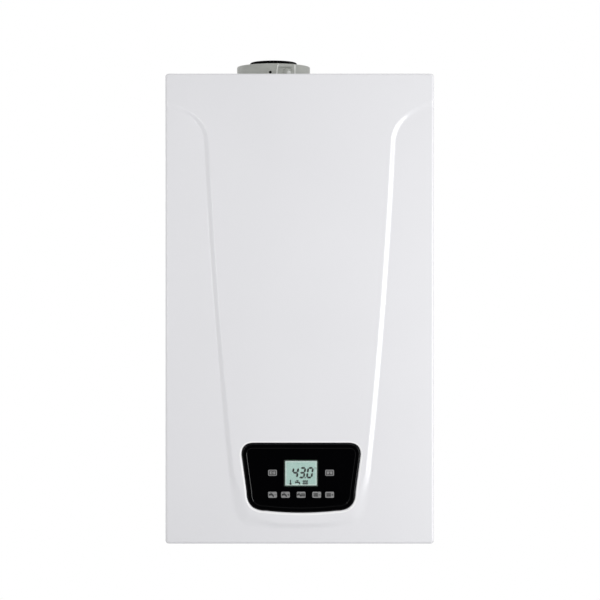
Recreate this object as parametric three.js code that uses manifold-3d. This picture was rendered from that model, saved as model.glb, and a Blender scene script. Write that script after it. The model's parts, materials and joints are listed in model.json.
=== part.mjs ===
// Wall-hung combi boiler, in millimetres.
// +Z is up, the wall is the plane y = 0 and the front faces -Y.
// The origin is on the wall plane, on the centre line, at the height of the wall hooks.
import * as THREE from 'three';
import { mergeVertices } from 'three/addons/utils/BufferGeometryUtils.js';
import Module from 'manifold-3d';

const wasm = await Module();
wasm.setup();

// ---------------------------------------------------------------- driving dimensions

// Casing
const caseWidth = 400;
const caseHeight = 700;
const caseDepth = 299;
const hookDrop = 55; // casing top above the hook line
const sheet = 1.2; // steel sheet of the casing
const backSheet = 1.5;
const fit = 0.3; // clearance between pieces that seat on each other
const frontReturn = 46; // depth of the front panel's folded sides
const seam = 1; // joint between the front panel and the sides
const flangeWidth = 18; // folded flanges of the side panels
const floorRise = 30; // bottom panel above the casing's lower edge
const tongueReach = 15; // top panel's tongue that carries the front panel
const tabReach = 24; // bottom panel's tab that holds the front screws
const tabRise = 5;
const tongueInset = 22; // ends of tongue and tab, in from the casing's sides
const slotX = 110; // wall hooks from the centre line
const slotHalf = 16;
const slotRise = 13;
const slotRadius = 5;
const railHalf = 30; // hanging rail's flanges above and below the hook line
const hatHalf = 22; // hanging rail's raised middle
const hatDepth = 12;
const blankX = 101; // blanked second flue hole
const blankRadius = 26;
const gasketWidth = 12;
const gasketThick = 5.7;
const screwX = 120;
const screwDrop = 13; // front screws behind the seam
const screwSlot = 3.2;
const screwHead = 4;
const screwShank = 2.2;
const screwLength = 12;

// Pressed front panel
const frontEdge = 4; // rounding of the front panel's outer edges
const reliefStep = 4; // raised field above the lower one
const reliefBand = 5.5; // width of the sloping line between them
const reliefFoot = 26.4; // lower end of the raised field
const reliefFootHalf = 96;
const reliefShoulderHalf = 139.2;
const reliefShoulderDrop = 102; // where the flare starts, below the casing's top
const reliefFlareDrop = 44; // where the flare leaves at the casing's side
const reliefBulge = 8.8;

// Control window and facia
const windowShift = 2; // the controls sit just right of the centre line
const windowTop = 149;
const windowBottom = 47;
const windowSag = 3; // the lower edge dips at the middle
const windowTopHalf = 87.5;
const windowFootHalf = 80;
const windowUpperRadius = 17;
const windowLowerRadius = 27;
const windowGap = 1.6;
const windowSteps = 4; // facets in each curve of the window
const lipWall = 1.4;
const lipDepth = 8;
const faciaSink = 1; // facia's face behind the raised field
const faciaDepth = 7.7;
const faciaEdge = 1.5;

// Control box
const boxSide = 35; // control box in from the casing's sides
const boxLow = 25;
const boxHigh = 190;
const boxDepth = 54;
const boxWall = 2.5;
const coverThick = 2.5;
const hingeHeight = 30;
const hingeBack = 24; // hinge line behind the raised field
const hingeRise = 8; // bottom panel's fold behind the control box
const pinRadius = 4;
const pinReach = 6;
const earThick = 2;
const displayWidth = 47.8;
const displayHeight = 37.1;
const displayCentre = 105.2;
const lensThick = 1.3;
const lensRim = 1.5;
const boardThick = 1.6;
const boardDepth = 17; // board's front behind the raised field
const boardHalf = 130;
const boardLow = 40;
const boardHigh = 160;
// Blocks on the board: from and to across, from and to in height, height off the board
const boardBlocks = [
  [-115, -70, 60, 100, 24], // transformer
  [-50, -34, 130, 146, 14], // relay
  [-24, -8, 130, 146, 14], // relay
  [10, 60, 134, 144, 11], // connector
  [74, 120, 134, 144, 11], // connector
];
const capacitors = [90, 112]; // places across
const capacitorHeight = 75;
const capacitorRadius = 8;
const capacitorReach = 20;
const portHalf = 60; // housing's opening behind the facia
const portLow = 60;
const portHigh = 132;
const keyWidth = 13;
const keyHeight = 9;
const keyTravel = 1;
const keyProud = 0.6;
const keyRim = 1.2;
const keyShelf = 3; // the key's rim sits behind this depth of facia
const upperKeyRow = 105.9;
const lowerKeyRow = 73.2;
const keyOuterSpacing = 42.5;
const keyInnerSpacing = 23.2;

// Flue
const flueX = -41;
const flueBack = 140; // flue axis from the wall
const collarRadius = 57;
const collarHeight = 27;
const airRadius = 50; // socket of the outer air pipe
const gasRadius = 30; // socket of the inner gas pipe
const gasWall = 3;
const sealRadius = 37;
const sealRise = 34;
const collarDepth = 10; // collar's inner tube below the casing's top
const plugRadius = 5.5;
const plugReach = 5;
const plugHeight = 13;
const plugAngles = [24, -4]; // test points, in degrees from the front

// Combustion
const groupLift = 19; // exchanger and fan above the middle of the room over the control box
const exchangerRadius = 112;
const exchangerCollar = 8; // exchanger's ports beyond its drum
const exchangerBack = 30;
const frontClear = 10.9; // venturi to the front panel
const exchangerRibs = 3;
const chamberRadius = 72;
const burnerRadius = 33;
const doorRadius = 100;
const doorThick = 16;
const ductDepth = 34;
const ductNeck = 48;
const ductHead = 55;
const fanX = 7;
const fanDrop = 190; // fan's axis below the exchanger's axis
const scrollNear = 56; // scroll's radius at its tongue
const scrollFar = 72; // scroll's radius where the outlet starts
const scrollWall = 2.5;
const scrollDepth = 55;
const impellerRadius = 50;
const bladeCount = 9;
const fanMotorRadius = 40;
const fanMotorDepth = 56;
const shaftRadius = 4;
const venturiRadius = 30;
const venturiDepth = 42;
const snorkelRadius = 19;
const snorkelReach = 84;
const venturiInlet = 12; // gas inlet below the venturi
const valveHalf = 30;
const valveClear = 22; // gas valve above the control box
const valveDepth = 46;
const valveCoil = 20; // height of the valve's coils
const gasTurnShare = 0.7; // gas pipe meets the valve this far down it
const fluePort = 70; // foot of the exchanger's flue port above its axis
const drainY = -80;
const portRadius = 13;
const portDrop = 95; // ends of the water ports below the exchanger's axis
const riserReturnX = 48;

// Water side
const pipeRow = 115; // connection tails from the wall
const riserRow = 45; // risers from the wall
const tailSpacing = 65;
const tailEnd = 2; // tails' lower ends above the casing's lower edge
const largePipe = 11; // outer radius of heating and gas pipes
const smallPipe = 7.5; // outer radius of tap water pipes
const plateHalf = 85;
const plateHeight = 75;
const plateLow = 75;
const plateBack = 12;
const plateCount = 6;
const plateThick = 5;
const platePitch = 8.4;
const groupHeight = 95; // centre of the pump and of the diverter
const voluteRadius = 40;
const voluteDepth = 44;
const pumpMotorRadius = 42;
const pumpClear = 11.9; // pump motor behind the control box's cover
const rotorRadius = 28;
const diverterRadius = 22;
const diverterLow = 50;
const diverterHigh = 140;
const spindleRadius = 3;
const spindleTravel = 7;
const spindleReach = 28; // spindle inside its motor
const motorHeight = 58; // diverter motor
const armX = 70; // arms that carry the plate exchanger
const armRadius = 9;
const ventShift = 18; // air vent from the pump's axis
const ventRise = 8; // air vent's seat above the volute
const vesselPipeX = 112;
const riserShift = 18;
const riserRise = 17;
const riserRadius = 9;
const flowPort = 120; // where the flow riser leaves the diverter, above the casing's lower edge
const cockHeight = 34; // drain cock's top
const reliefReach = 38; // relief valve's face in front of the tails
const vesselWidth = 95;
const vesselDepth = 180;
const vesselBack = 20;
const vesselLow = 260;
const vesselDrop = 60; // vessel's top below the casing's top
const vesselRounding = 14;
const vesselWall = 2;
const trapX = -60;
const trapClear = 15.2; // trap behind the control box's cover
const trapRadius = 26;
const trapLip = 2;
const trapLow = 62;
const trapDrop = 50; // trap's top below the hose's crossing
const hoseClear = 5.5; // hose's crossing below the fan's scroll
const hoseRadius = 10;
const hoseBore = 7;
const hoseRib = 2;
const hoseRibCount = 24;
const gaugeX = 92;
const gaugeClear = 14.2; // gauge behind the control box's cover
const gaugeRadius = 19;
const gaugeLip = 4;
const gaugeFace = 12; // gauge's rim above the casing's lower edge
const dialSink = 4;
const hubThick = 1.6; // pointer's hub
const cockX = 97;

// ---------------------------------------------------------------- places worked out from them

const halfCase = caseWidth / 2;
const caseTop = hookDrop;
const caseBottom = caseTop - caseHeight;
const frontFace = -caseDepth;
const lowFace = frontFace + reliefStep;
const seamFace = frontFace + frontReturn;
const chassisFace = seamFace + seam;
const backFace = -backSheet;
const screwY = seamFace - screwDrop;
const windowMiddle = windowShift;
const faciaFace = frontFace + faciaSink;
const faciaBack = faciaFace + faciaDepth;
const boxFront = faciaBack + fit;
const boxBack = boxFront + boxDepth;
const boxHalf = halfCase - boxSide;
const coverBack = boxBack + fit + coverThick;
const hingeY = frontFace + hingeBack;
const foldFace = boxBack + hingeRise;
const boardFront = frontFace + boardDepth;
const up = (height) => caseBottom + height;
const flueY = -flueBack;
const burnerStack = venturiDepth + fit + ductDepth + fit + doorThick + fit;
const exchangerFront = lowFace + sheet + frontClear + burnerStack;
const exchangerDepth = -exchangerBack - exchangerFront;
const doorBack = exchangerFront - fit;
const doorFront = doorBack - doorThick;
const ductBack = doorFront - fit;
const ductFront = ductBack - ductDepth;
const scrollFront = ductFront;
const scrollBack = scrollFront + scrollDepth;
const groupBelow = fanDrop + venturiRadius + venturiInlet;
const groupAbove = exchangerRadius + exchangerCollar;
const exchangerZ = (caseTop + up(boxHigh) + groupBelow - groupAbove) / 2 + groupLift;
const fanZ = exchangerZ - fanDrop;
const scrollTop = exchangerZ - exchangerRadius - exchangerCollar + 2;
const portEnd = exchangerZ - portDrop;
const valveTop = fanZ - venturiRadius - venturiInlet;
const valveBack = scrollFront - fit;
const valveHeight = valveTop - up(boxHigh) - valveClear;
const gasTurn = valveTop - gasTurnShare * valveHeight;
const rowY = -pipeRow;
const riserY = -riserRow;
const flowX = -2 * tailSpacing;
const hotX = -tailSpacing;
const gasX = 0;
const coldX = tailSpacing;
const returnX = 2 * tailSpacing;
const groupZ = up(groupHeight);
const riserTurnY = rowY + 40;
const reliefFace = rowY - reliefReach;
const ventX = returnX + ventShift;
const ventSeat = groupZ + voluteRadius + ventRise;
const riserStartX = returnX - riserShift;
const cockTop = up(cockHeight);
const pumpMotorDepth = rowY - voluteDepth / 2 - fit - coverBack - pumpClear;
const floorTop = up(floorRise);
const plateFront = -(plateBack + plateCount * platePitch);
const vesselRight = halfCase - 10;
const vesselLeft = vesselRight - vesselWidth;
const vesselMiddle = (vesselLeft + vesselRight) / 2;
const vesselHigh = caseHeight - vesselDrop;
const hoseCross = fanZ - scrollFar - scrollWall - hoseClear;
const trapY = coverBack + trapClear + trapRadius + trapLip;
const trapHigh = hoseCross - trapDrop;
const gaugeY = coverBack + gaugeClear + gaugeRadius + gaugeLip;

// ---------------------------------------------------------------- finishes

const finish = {
  paint: { color: 0xe9e9ec, roughness: 0.42, metalness: 0 },
  zinc: { color: 0xaeb2b5, roughness: 0.45, metalness: 0.9 },
  blackGloss: { color: 0x08080a, roughness: 0.12, metalness: 0 },
  blackPlastic: { color: 0x1b1c1e, roughness: 0.6, metalness: 0 },
  greyPlastic: { color: 0x9a9c98, roughness: 0.5, metalness: 0 },
  keyPlastic: { color: 0x8d8d8d, roughness: 0.5, metalness: 0 },
  whitePlastic: { color: 0xd9dad6, roughness: 0.5, metalness: 0 },
  redPlastic: { color: 0xb3241c, roughness: 0.45, metalness: 0 },
  lens: { color: 0xdfe8e4, roughness: 0.05, metalness: 0, transparent: true, opacity: 0.3 },
  lcd: { color: 0xaccfc7, roughness: 0.3, metalness: 0 },
  board: { color: 0x1d6b3c, roughness: 0.5, metalness: 0 },
  rubber: { color: 0x111111, roughness: 0.8, metalness: 0 },
  foam: { color: 0x3a3b3d, roughness: 0.95, metalness: 0 },
  castAluminium: { color: 0xa9abac, roughness: 0.55, metalness: 0.9 },
  stainless: { color: 0xb9bbbc, roughness: 0.3, metalness: 1 },
  copper: { color: 0xb87333, roughness: 0.3, metalness: 1 },
  brass: { color: 0xb5a25a, roughness: 0.35, metalness: 1 },
  vesselRed: { color: 0xa3241d, roughness: 0.5, metalness: 0 },
};

// ---------------------------------------------------------------- solids from geometry

function meshVolume(places, corners) {
  const [a, b, c] = [new THREE.Vector3(), new THREE.Vector3(), new THREE.Vector3()];
  let volume = 0;
  for (let i = 0; i < corners.length; i += 3) {
    a.fromArray(places, corners[i] * 3);
    b.fromArray(places, corners[i + 1] * 3);
    c.fromArray(places, corners[i + 2] * 3);
    volume += a.dot(b.cross(c)) / 6;
  }
  return volume;
}

function solidOf(geometry) {
  const bare = geometry.clone();
  bare.deleteAttribute('normal');
  bare.deleteAttribute('uv');
  const merged = mergeVertices(bare, 1e-4);
  const places = new Float32Array(merged.attributes.position.array);
  const index = merged.index.array;
  const corners = [];
  for (let i = 0; i < index.length; i += 3) {
    const [a, b, c] = [index[i], index[i + 1], index[i + 2]];
    if (a !== b && b !== c && c !== a) {
      corners.push(a, b, c);
    }
  }
  if (meshVolume(places, corners) < 0) {
    corners.reverse();
  }
  const triVerts = new Uint32Array(corners);
  return new wasm.Manifold(new wasm.Mesh({ numProp: 3, vertProperties: places, triVerts }));
}

function geometryOf(solid) {
  const { vertProperties, triVerts } = solid.getMesh();
  const geometry = new THREE.BufferGeometry();
  geometry.setAttribute('position', new THREE.BufferAttribute(vertProperties, 3));
  geometry.setIndex(new THREE.BufferAttribute(triVerts, 1));
  geometry.computeVertexNormals();
  return geometry;
}

function joined(solids) {
  return solids.reduce((whole, next) => whole.add(next));
}

function block(x0, x1, y0, y1, z0, z1) {
  const box = new THREE.BoxGeometry(Math.abs(x1 - x0), Math.abs(y1 - y0), Math.abs(z1 - z0));
  box.translate((x0 + x1) / 2, (y0 + y1) / 2, (z0 + z1) / 2);
  return solidOf(box);
}

// Cylinders along each axis
function rodX(x0, x1, y, z, radius, sides = 10) {
  const rod = new THREE.CylinderGeometry(radius, radius, Math.abs(x1 - x0), sides);
  rod.rotateZ(Math.PI / 2);
  rod.translate((x0 + x1) / 2, y, z);
  return solidOf(rod);
}

function rodY(x, y0, y1, z, radius, sides = 10) {
  const rod = new THREE.CylinderGeometry(radius, radius, Math.abs(y1 - y0), sides);
  rod.translate(x, (y0 + y1) / 2, z);
  return solidOf(rod);
}

function rodZ(x, y, z0, z1, radius, sides = 10) {
  const rod = new THREE.CylinderGeometry(radius, radius, Math.abs(z1 - z0), sides);
  rod.rotateX(Math.PI / 2);
  rod.translate(x, y, (z0 + z1) / 2);
  return solidOf(rod);
}

// Turned pieces: a profile of [radius, place along the axis] that starts and ends on the axis
function turnedY(x, z, profile, sides = 16) {
  const points = profile.map(([radius, along]) => new THREE.Vector2(radius, along));
  const body = new THREE.LatheGeometry(points, sides);
  body.translate(x, 0, z);
  return solidOf(body);
}

function turnedZ(x, y, profile, sides = 16) {
  const points = profile.map(([radius, along]) => new THREE.Vector2(radius, along));
  const body = new THREE.LatheGeometry(points, sides);
  body.rotateX(Math.PI / 2);
  body.translate(x, y, 0);
  return solidOf(body);
}

// Plates: an outline in the plane across the axis, between two places along it
function plateX(outline, x0, x1, curveSegments = 1) {
  const depth = Math.abs(x1 - x0);
  const plate = new THREE.ExtrudeGeometry(outline, { depth, bevelEnabled: false, curveSegments });
  plate.applyMatrix4(new THREE.Matrix4().set(0, 0, 1, 0, 1, 0, 0, 0, 0, 1, 0, 0, 0, 0, 0, 1));
  plate.translate(Math.min(x0, x1), 0, 0);
  return solidOf(plate);
}

function plateY(outline, y0, y1, curveSegments = 1) {
  const depth = Math.abs(y1 - y0);
  const plate = new THREE.ExtrudeGeometry(outline, { depth, bevelEnabled: false, curveSegments });
  plate.rotateX(Math.PI / 2);
  plate.translate(0, Math.max(y0, y1), 0);
  return solidOf(plate);
}

function plateZ(outline, z0, z1, curveSegments = 1) {
  const depth = Math.abs(z1 - z0);
  const plate = new THREE.ExtrudeGeometry(outline, { depth, bevelEnabled: false, curveSegments });
  plate.translate(0, 0, Math.min(z0, z1));
  return solidOf(plate);
}

function roundedOutline(a0, a1, b0, b1, radius) {
  const shape = new THREE.Shape();
  shape.moveTo(a0 + radius, b0);
  shape.lineTo(a1 - radius, b0);
  shape.absarc(a1 - radius, b0 + radius, radius, -Math.PI / 2, 0, false);
  shape.lineTo(a1, b1 - radius);
  shape.absarc(a1 - radius, b1 - radius, radius, 0, Math.PI / 2, false);
  shape.lineTo(a0 + radius, b1);
  shape.absarc(a0 + radius, b1 - radius, radius, Math.PI / 2, Math.PI, false);
  shape.lineTo(a0, b0 + radius);
  shape.absarc(a0 + radius, b0 + radius, radius, Math.PI, 1.5 * Math.PI, false);
  return shape;
}

function polygon(points) {
  return new THREE.Shape(points.map(([a, b]) => new THREE.Vector2(a, b)));
}

// A slab with straight sides from its rear plane forwards and a rounded edge at its front
function roundedSlab(outline, rear, front, edge, steps = 2, curveSegments = 1) {
  const depth = rear - front;
  const slab = new THREE.ExtrudeGeometry(outline, {
    depth,
    curveSegments,
    bevelThickness: edge,
    bevelSize: edge,
    bevelOffset: -edge,
    bevelSegments: steps,
  });
  slab.rotateX(Math.PI / 2);
  slab.translate(0, rear + edge, 0);
  const reach = 2 * caseWidth;
  const ahead = block(-reach, reach, front - edge, rear, caseBottom - reach, caseTop + reach);
  return solidOf(slab).intersect(ahead);
}

// A pipe's run: straight between its corners and bent round each by one radius
class PipeRun extends THREE.Curve {
  constructor(corners, bend, stepsPerBend) {
    super();
    const points = corners.map((corner) => new THREE.Vector3(...corner));
    this.places = [points[0]];
    this.headings = [points[1].clone().sub(points[0]).normalize()];
    for (let i = 1; i < points.length - 1; i += 1) {
      const arriving = points[i].clone().sub(points[i - 1]).normalize();
      const leaving = points[i + 1].clone().sub(points[i]).normalize();
      const angle = arriving.angleTo(leaving);
      const setback = bend * Math.tan(angle / 2);
      const inward = leaving.clone().sub(arriving).normalize();
      const start = points[i].clone().addScaledVector(arriving, -setback);
      const centre = points[i].clone().addScaledVector(inward, bend / Math.cos(angle / 2));
      const across = arriving.clone().cross(leaving).normalize();
      for (let step = 0; step <= stepsPerBend; step += 1) {
        const turn = (angle * step) / stepsPerBend;
        const spoke = start.clone().sub(centre).applyAxisAngle(across, turn);
        this.places.push(centre.clone().add(spoke));
        this.headings.push(arriving.clone().applyAxisAngle(across, turn));
      }
    }
    this.places.push(points[points.length - 1]);
    this.headings.push(this.headings[this.headings.length - 1].clone());
    this.steps = this.places.length - 1;
  }

  getUtoTmapping(u) {
    return u;
  }

  getPoint(t, target = new THREE.Vector3()) {
    const place = Math.min(t * this.steps, this.steps);
    const before = Math.min(Math.floor(place + 1e-9), this.steps - 1);
    return target.lerpVectors(this.places[before], this.places[before + 1], place - before);
  }

  getTangent(t, target = new THREE.Vector3()) {
    const place = Math.min(t * this.steps, this.steps);
    const before = Math.min(Math.floor(place + 1e-9), this.steps - 1);
    target.lerpVectors(this.headings[before], this.headings[before + 1], place - before);
    return target.normalize();
  }

  // A place and heading at a distance along the run
  at(distance) {
    let left = distance;
    for (let i = 0; i < this.steps; i += 1) {
      const length = this.places[i].distanceTo(this.places[i + 1]);
      if (left <= length || i === this.steps - 1) {
        const share = length > 0 ? Math.min(left / length, 1) : 0;
        return {
          place: this.places[i].clone().lerp(this.places[i + 1], share),
          heading: this.headings[i].clone().lerp(this.headings[i + 1], share).normalize(),
        };
      }
      left -= length;
    }
    return null;
  }

  get total() {
    let sum = 0;
    for (let i = 0; i < this.steps; i += 1) {
      sum += this.places[i].distanceTo(this.places[i + 1]);
    }
    return sum;
  }
}

function ring(radius, sides) {
  const section = [];
  for (let i = 0; i < sides; i += 1) {
    const angle = (2 * Math.PI * i) / sides;
    section.push([radius * Math.cos(angle), radius * Math.sin(angle)]);
  }
  return polygon(section);
}

function pipe(corners, radius, bend, sides = 8) {
  const run = new PipeRun(corners, bend, 3);
  const options = { steps: run.steps, extrudePath: run, bevelEnabled: false };
  return solidOf(new THREE.ExtrudeGeometry(ring(radius, sides), options));
}

// ---------------------------------------------------------------- the assembly

const boiler = new THREE.Group();

function addPiece(parent, name, solid, look, place = [0, 0, 0]) {
  const mesh = new THREE.Mesh(geometryOf(solid), new THREE.MeshStandardMaterial(look));
  mesh.name = name;
  mesh.position.set(...place);
  parent.add(mesh);
  return mesh;
}

// ---------------------------------------------------------------- casing

function backPanel() {
  const half = halfCase - sheet - fit;
  const outline = roundedOutline(-half, half, up(1), caseTop - 1, 3);
  for (const side of [-1, 1]) {
    const x = side * slotX;
    outline.holes.push(roundedOutline(x - slotHalf, x + slotHalf, -slotRise, slotRise, slotRadius));
  }
  return plateY(outline, backFace, 0);
}

function hangingRail() {
  // A hat section across the back with the same hook slots
  const railFace = backFace - fit;
  const hatFace = railFace - hatDepth;
  const hat = polygon([
    [railFace, -railHalf],
    [railFace, -hatHalf + sheet],
    [hatFace, -hatHalf + sheet],
    [hatFace, hatHalf - sheet],
    [railFace, hatHalf - sheet],
    [railFace, railHalf],
    [railFace - sheet, railHalf],
    [railFace - sheet, hatHalf],
    [hatFace - sheet, hatHalf],
    [hatFace - sheet, -hatHalf],
    [railFace - sheet, -hatHalf],
    [railFace - sheet, -railHalf],
  ]);
  const half = halfCase - flangeWidth - 6;
  const slots = [-1, 1].map((side) => {
    const x = side * slotX;
    const slot = roundedOutline(x - slotHalf, x + slotHalf, -slotRise, slotRise, slotRadius);
    return plateY(slot, hatFace - 2 * sheet, railFace + sheet);
  });
  return plateX(hat, -half, half).subtract(joined(slots));
}

function sidePanel(side) {
  // A folded channel: rear flange, outer wall and front flange
  const outer = halfCase;
  const inner = outer - sheet;
  const rear = backFace - fit;
  const tip = outer - flangeWidth;
  const fold = polygon([
    [side * tip, rear],
    [side * inner, rear],
    [side * inner, -0.2],
    [side * outer, -0.2],
    [side * outer, chassisFace],
    [side * tip, chassisFace],
    [side * tip, chassisFace + sheet],
    [side * inner, chassisFace + sheet],
    [side * inner, rear - sheet],
    [side * tip, rear - sheet],
  ]);
  return plateZ(fold, caseBottom, caseTop);
}

function topPanel() {
  const half = halfCase - sheet - fit;
  const rear = backFace - 2 * fit - sheet;
  const front = chassisFace + sheet + fit;
  const tongueHalf = halfCase - tongueInset;
  const skin = block(-half, half, rear, front, caseTop - sheet, caseTop);
  const step = caseTop - sheet - fit;
  const joggle = block(-tongueHalf, tongueHalf, front + sheet, front, step - sheet, caseTop);
  const tongue = block(-tongueHalf, tongueHalf, front, seamFace - tongueReach, step - sheet, step);
  const flue = rodZ(flueX, flueY, caseTop - 20, caseTop + 20, airRadius, 32);
  const patch = rodZ(blankX, flueY, caseTop - 2 * sheet, caseTop + 1, blankRadius, 20);
  return joined([skin, joggle, tongue, patch]).subtract(flue);
}

function bottomPanel() {
  const half = halfCase - sheet - fit;
  const rear = backFace - 2 * fit - sheet;
  const fold = foldFace;
  const tabHalf = halfCase - tongueInset;
  const tabTop = up(tabRise + sheet);
  const skin = block(-half, half, rear, fold, floorTop - sheet, floorTop);
  const apron = block(-tabHalf, tabHalf, fold + sheet, fold, up(tabRise), floorTop);
  const tab = block(-tabHalf, tabHalf, fold, chassisFace - tabReach + 4, up(tabRise), tabTop);
  const below = floorTop - 5;
  const above = floorTop + 5;
  const holes = [
    rodZ(flowX, rowY, below, above, largePipe + 2),
    rodZ(hotX, rowY, below, above, smallPipe + 2),
    rodZ(gasX, rowY, below, above, largePipe + 2),
    rodZ(coldX, rowY, below, above, smallPipe + 2),
    rodZ(returnX, rowY, below, above, largePipe + 2),
    rodZ(trapX, trapY, below, above, 10.5),
    rodZ(gaugeX, gaugeY, below, above, gaugeRadius + fit, 16),
    rodZ(cockX, rowY, below, above, 9),
  ];
  // Slots for the front screws, open to the front
  for (const side of [-1, 1]) {
    const x = side * screwX;
    holes.push(block(x - screwSlot, x + screwSlot, screwY + screwSlot, screwY - 40, up(0), up(12)));
    holes.push(rodZ(x, screwY + screwSlot, up(0), up(12), screwSlot, 12));
  }
  return joined([skin, apron, tab]).subtract(joined(holes));
}

// Half of the relief line, from the bottom's middle round to beyond the casing's top
function reliefOutline() {
  const foot = up(reliefFoot);
  const shoulder = caseTop - reliefShoulderDrop;
  const flare = caseTop - reliefFlareDrop;
  const beyond = halfCase + 15;
  const corner = up(reliefFoot + 38.7);
  const cornerIn = reliefFootHalf - 22;
  const middleX = (reliefFootHalf + reliefShoulderHalf) / 2 + reliefBulge;
  const middleZ = (corner + shoulder) / 2;
  const line = new THREE.Shape();
  line.moveTo(-cornerIn, foot + 4);
  line.quadraticCurveTo(0, foot - 3, cornerIn, foot + 4);
  line.quadraticCurveTo(reliefFootHalf - 2, foot + 6, reliefFootHalf + 1.6, corner);
  line.quadraticCurveTo(middleX, middleZ, reliefShoulderHalf, shoulder);
  line.quadraticCurveTo(reliefShoulderHalf + 1.8, flare - 18, halfCase, flare);
  line.lineTo(beyond, flare + 1);
  line.lineTo(beyond, caseTop + 20);
  line.lineTo(-beyond, caseTop + 20);
  line.lineTo(-beyond, flare + 1);
  line.lineTo(-halfCase, flare);
  line.quadraticCurveTo(-reliefShoulderHalf - 1.8, flare - 18, -reliefShoulderHalf, shoulder);
  line.quadraticCurveTo(-middleX, middleZ, -reliefFootHalf - 1.6, corner);
  line.quadraticCurveTo(-reliefFootHalf + 2, foot + 6, -cornerIn, foot + 4);
  return line;
}

function raisedField(inset) {
  const bodyDepth = 6;
  const field = new THREE.ExtrudeGeometry(reliefOutline(), {
    depth: bodyDepth,
    curveSegments: 8,
    bevelThickness: reliefStep,
    bevelSize: reliefBand,
    bevelOffset: -reliefBand / 2 - inset,
    bevelSegments: 1,
  });
  field.rotateX(Math.PI / 2);
  field.translate(0, frontFace + inset + reliefStep + bodyDepth, 0);
  return solidOf(field);
}

// The front panel's outer form, or the same form drawn in by the sheet's thickness
function frontForm(inset, rear) {
  const half = halfCase - inset;
  const edge = frontEdge - inset;
  const corner = edge + 1;
  const outline = roundedOutline(-half, half, caseBottom + inset, caseTop - inset, corner);
  const low = roundedSlab(outline, rear, lowFace + inset, edge);
  const full = roundedSlab(outline, rear, frontFace + inset, edge);
  return low.add(full.intersect(raisedField(inset)));
}

// The facia's outline, grown outwards by a margin
function windowOutline(grow) {
  const top = up(windowTop) + grow;
  const bottom = up(windowBottom) - grow;
  const shoulder = windowTopHalf + grow;
  const foot = windowFootHalf + grow;
  const upper = windowUpperRadius + grow;
  const lower = windowLowerRadius + grow;
  const x = windowMiddle;
  const low = bottom + windowSag;
  const shape = new THREE.Shape();
  shape.moveTo(x - shoulder + upper, top);
  shape.quadraticCurveTo(x - shoulder, top, x - shoulder, top - upper);
  shape.lineTo(x - foot, low + lower);
  shape.quadraticCurveTo(x - foot, low, x - foot + lower, low);
  shape.quadraticCurveTo(x, bottom - windowSag, x + foot - lower, low);
  shape.quadraticCurveTo(x + foot, low, x + foot, low + lower);
  shape.lineTo(x + shoulder, top - upper);
  shape.quadraticCurveTo(x + shoulder, top, x + shoulder - upper, top);
  return shape;
}

function casingFront() {
  const pan = frontForm(0, seamFace).subtract(frontForm(sheet, seamFace + 5));
  const lipOutline = windowOutline(windowGap + lipWall);
  const lip = plateY(lipOutline, frontFace + lipDepth, frontFace + sheet / 2, windowSteps);
  const hole = plateY(windowOutline(windowGap), frontFace + 2 * lipDepth, frontFace - 2, windowSteps);
  // The window's edge is turned in with a small chamfer
  const edge = new THREE.ExtrudeGeometry(windowOutline(windowGap), {
    depth: 2,
    curveSegments: windowSteps,
    bevelThickness: lipWall,
    bevelSize: lipWall,
    bevelSegments: 1,
  });
  edge.rotateX(Math.PI / 2);
  edge.translate(0, frontFace, 0);
  const screwHoles = [-1, 1].map((side) => {
    return rodZ(side * screwX, screwY, caseBottom - 3, caseBottom + 5, screwHead + fit, 12);
  });
  return joined([pan, lip]).subtract(joined([hole, solidOf(edge), ...screwHoles]));
}

function frontGasket() {
  // Foam along the top and both sides of the front panel, against the chassis flanges
  const half = halfCase - sheet - fit;
  const top = caseTop - 2 * sheet - 2 * fit - fit;
  const wide = gasketWidth;
  const low = up(16);
  const strip = polygon([
    [-half, low],
    [-half + wide, low],
    [-half + wide, top - wide],
    [half - wide, top - wide],
    [half - wide, low],
    [half, low],
    [half, top - 4],
    [half - 4, top],
    [-half + 4, top],
    [-half, top - 4],
  ]);
  return plateY(strip, chassisFace - fit, chassisFace - fit - gasketThick);
}

function frontScrew() {
  // A captive screw: head in the panel's hole, collar above it, shank through the slot
  const head = turnedZ(0, 0, [
    [0, 0.1],
    [screwHead, 0.1],
    [screwHead, sheet + fit],
    [screwHead + 2, sheet + fit],
    [screwHead + 2, 2.6],
    [screwShank, 2.6],
    [screwShank, screwLength - 1],
    [screwShank - 1, screwLength],
    [0, screwLength],
  ], 12);
  return head.subtract(block(-3, 3, -0.5, 0.5, -1, 0.8));
}

function buildCasing() {
  const casing = new THREE.Group();
  boiler.add(casing);
  addPiece(casing, 'back_panel', backPanel(), finish.zinc);
  addPiece(casing, 'hanging_rail', hangingRail(), finish.zinc);
  addPiece(casing, 'side_panel_left', sidePanel(-1), finish.paint);
  addPiece(casing, 'side_panel_right', sidePanel(1), finish.paint);
  addPiece(casing, 'top_panel', topPanel(), finish.paint);
  addPiece(casing, 'bottom_panel', bottomPanel(), finish.zinc);
  addPiece(casing, 'casing_front', casingFront(), finish.paint);
  addPiece(casing, 'front_gasket', frontGasket(), finish.foam);
  addPiece(casing, 'front_screw_left', frontScrew(), finish.zinc, [-screwX, screwY, caseBottom]);
  addPiece(casing, 'front_screw_right', frontScrew(), finish.zinc, [screwX, screwY, caseBottom]);
}

// ---------------------------------------------------------------- control box

// The seven keys: name, place across and height of the row
const keys = [
  ['key_reset', -keyOuterSpacing, upperKeyRow],
  ['key_info', keyOuterSpacing, upperKeyRow],
  ['key_water_down', -keyOuterSpacing, lowerKeyRow],
  ['key_water_up', -keyInnerSpacing, lowerKeyRow],
  ['key_mode', 0, lowerKeyRow],
  ['key_heating_down', keyInnerSpacing, lowerKeyRow],
  ['key_heating_up', keyOuterSpacing, lowerKeyRow],
];

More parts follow.
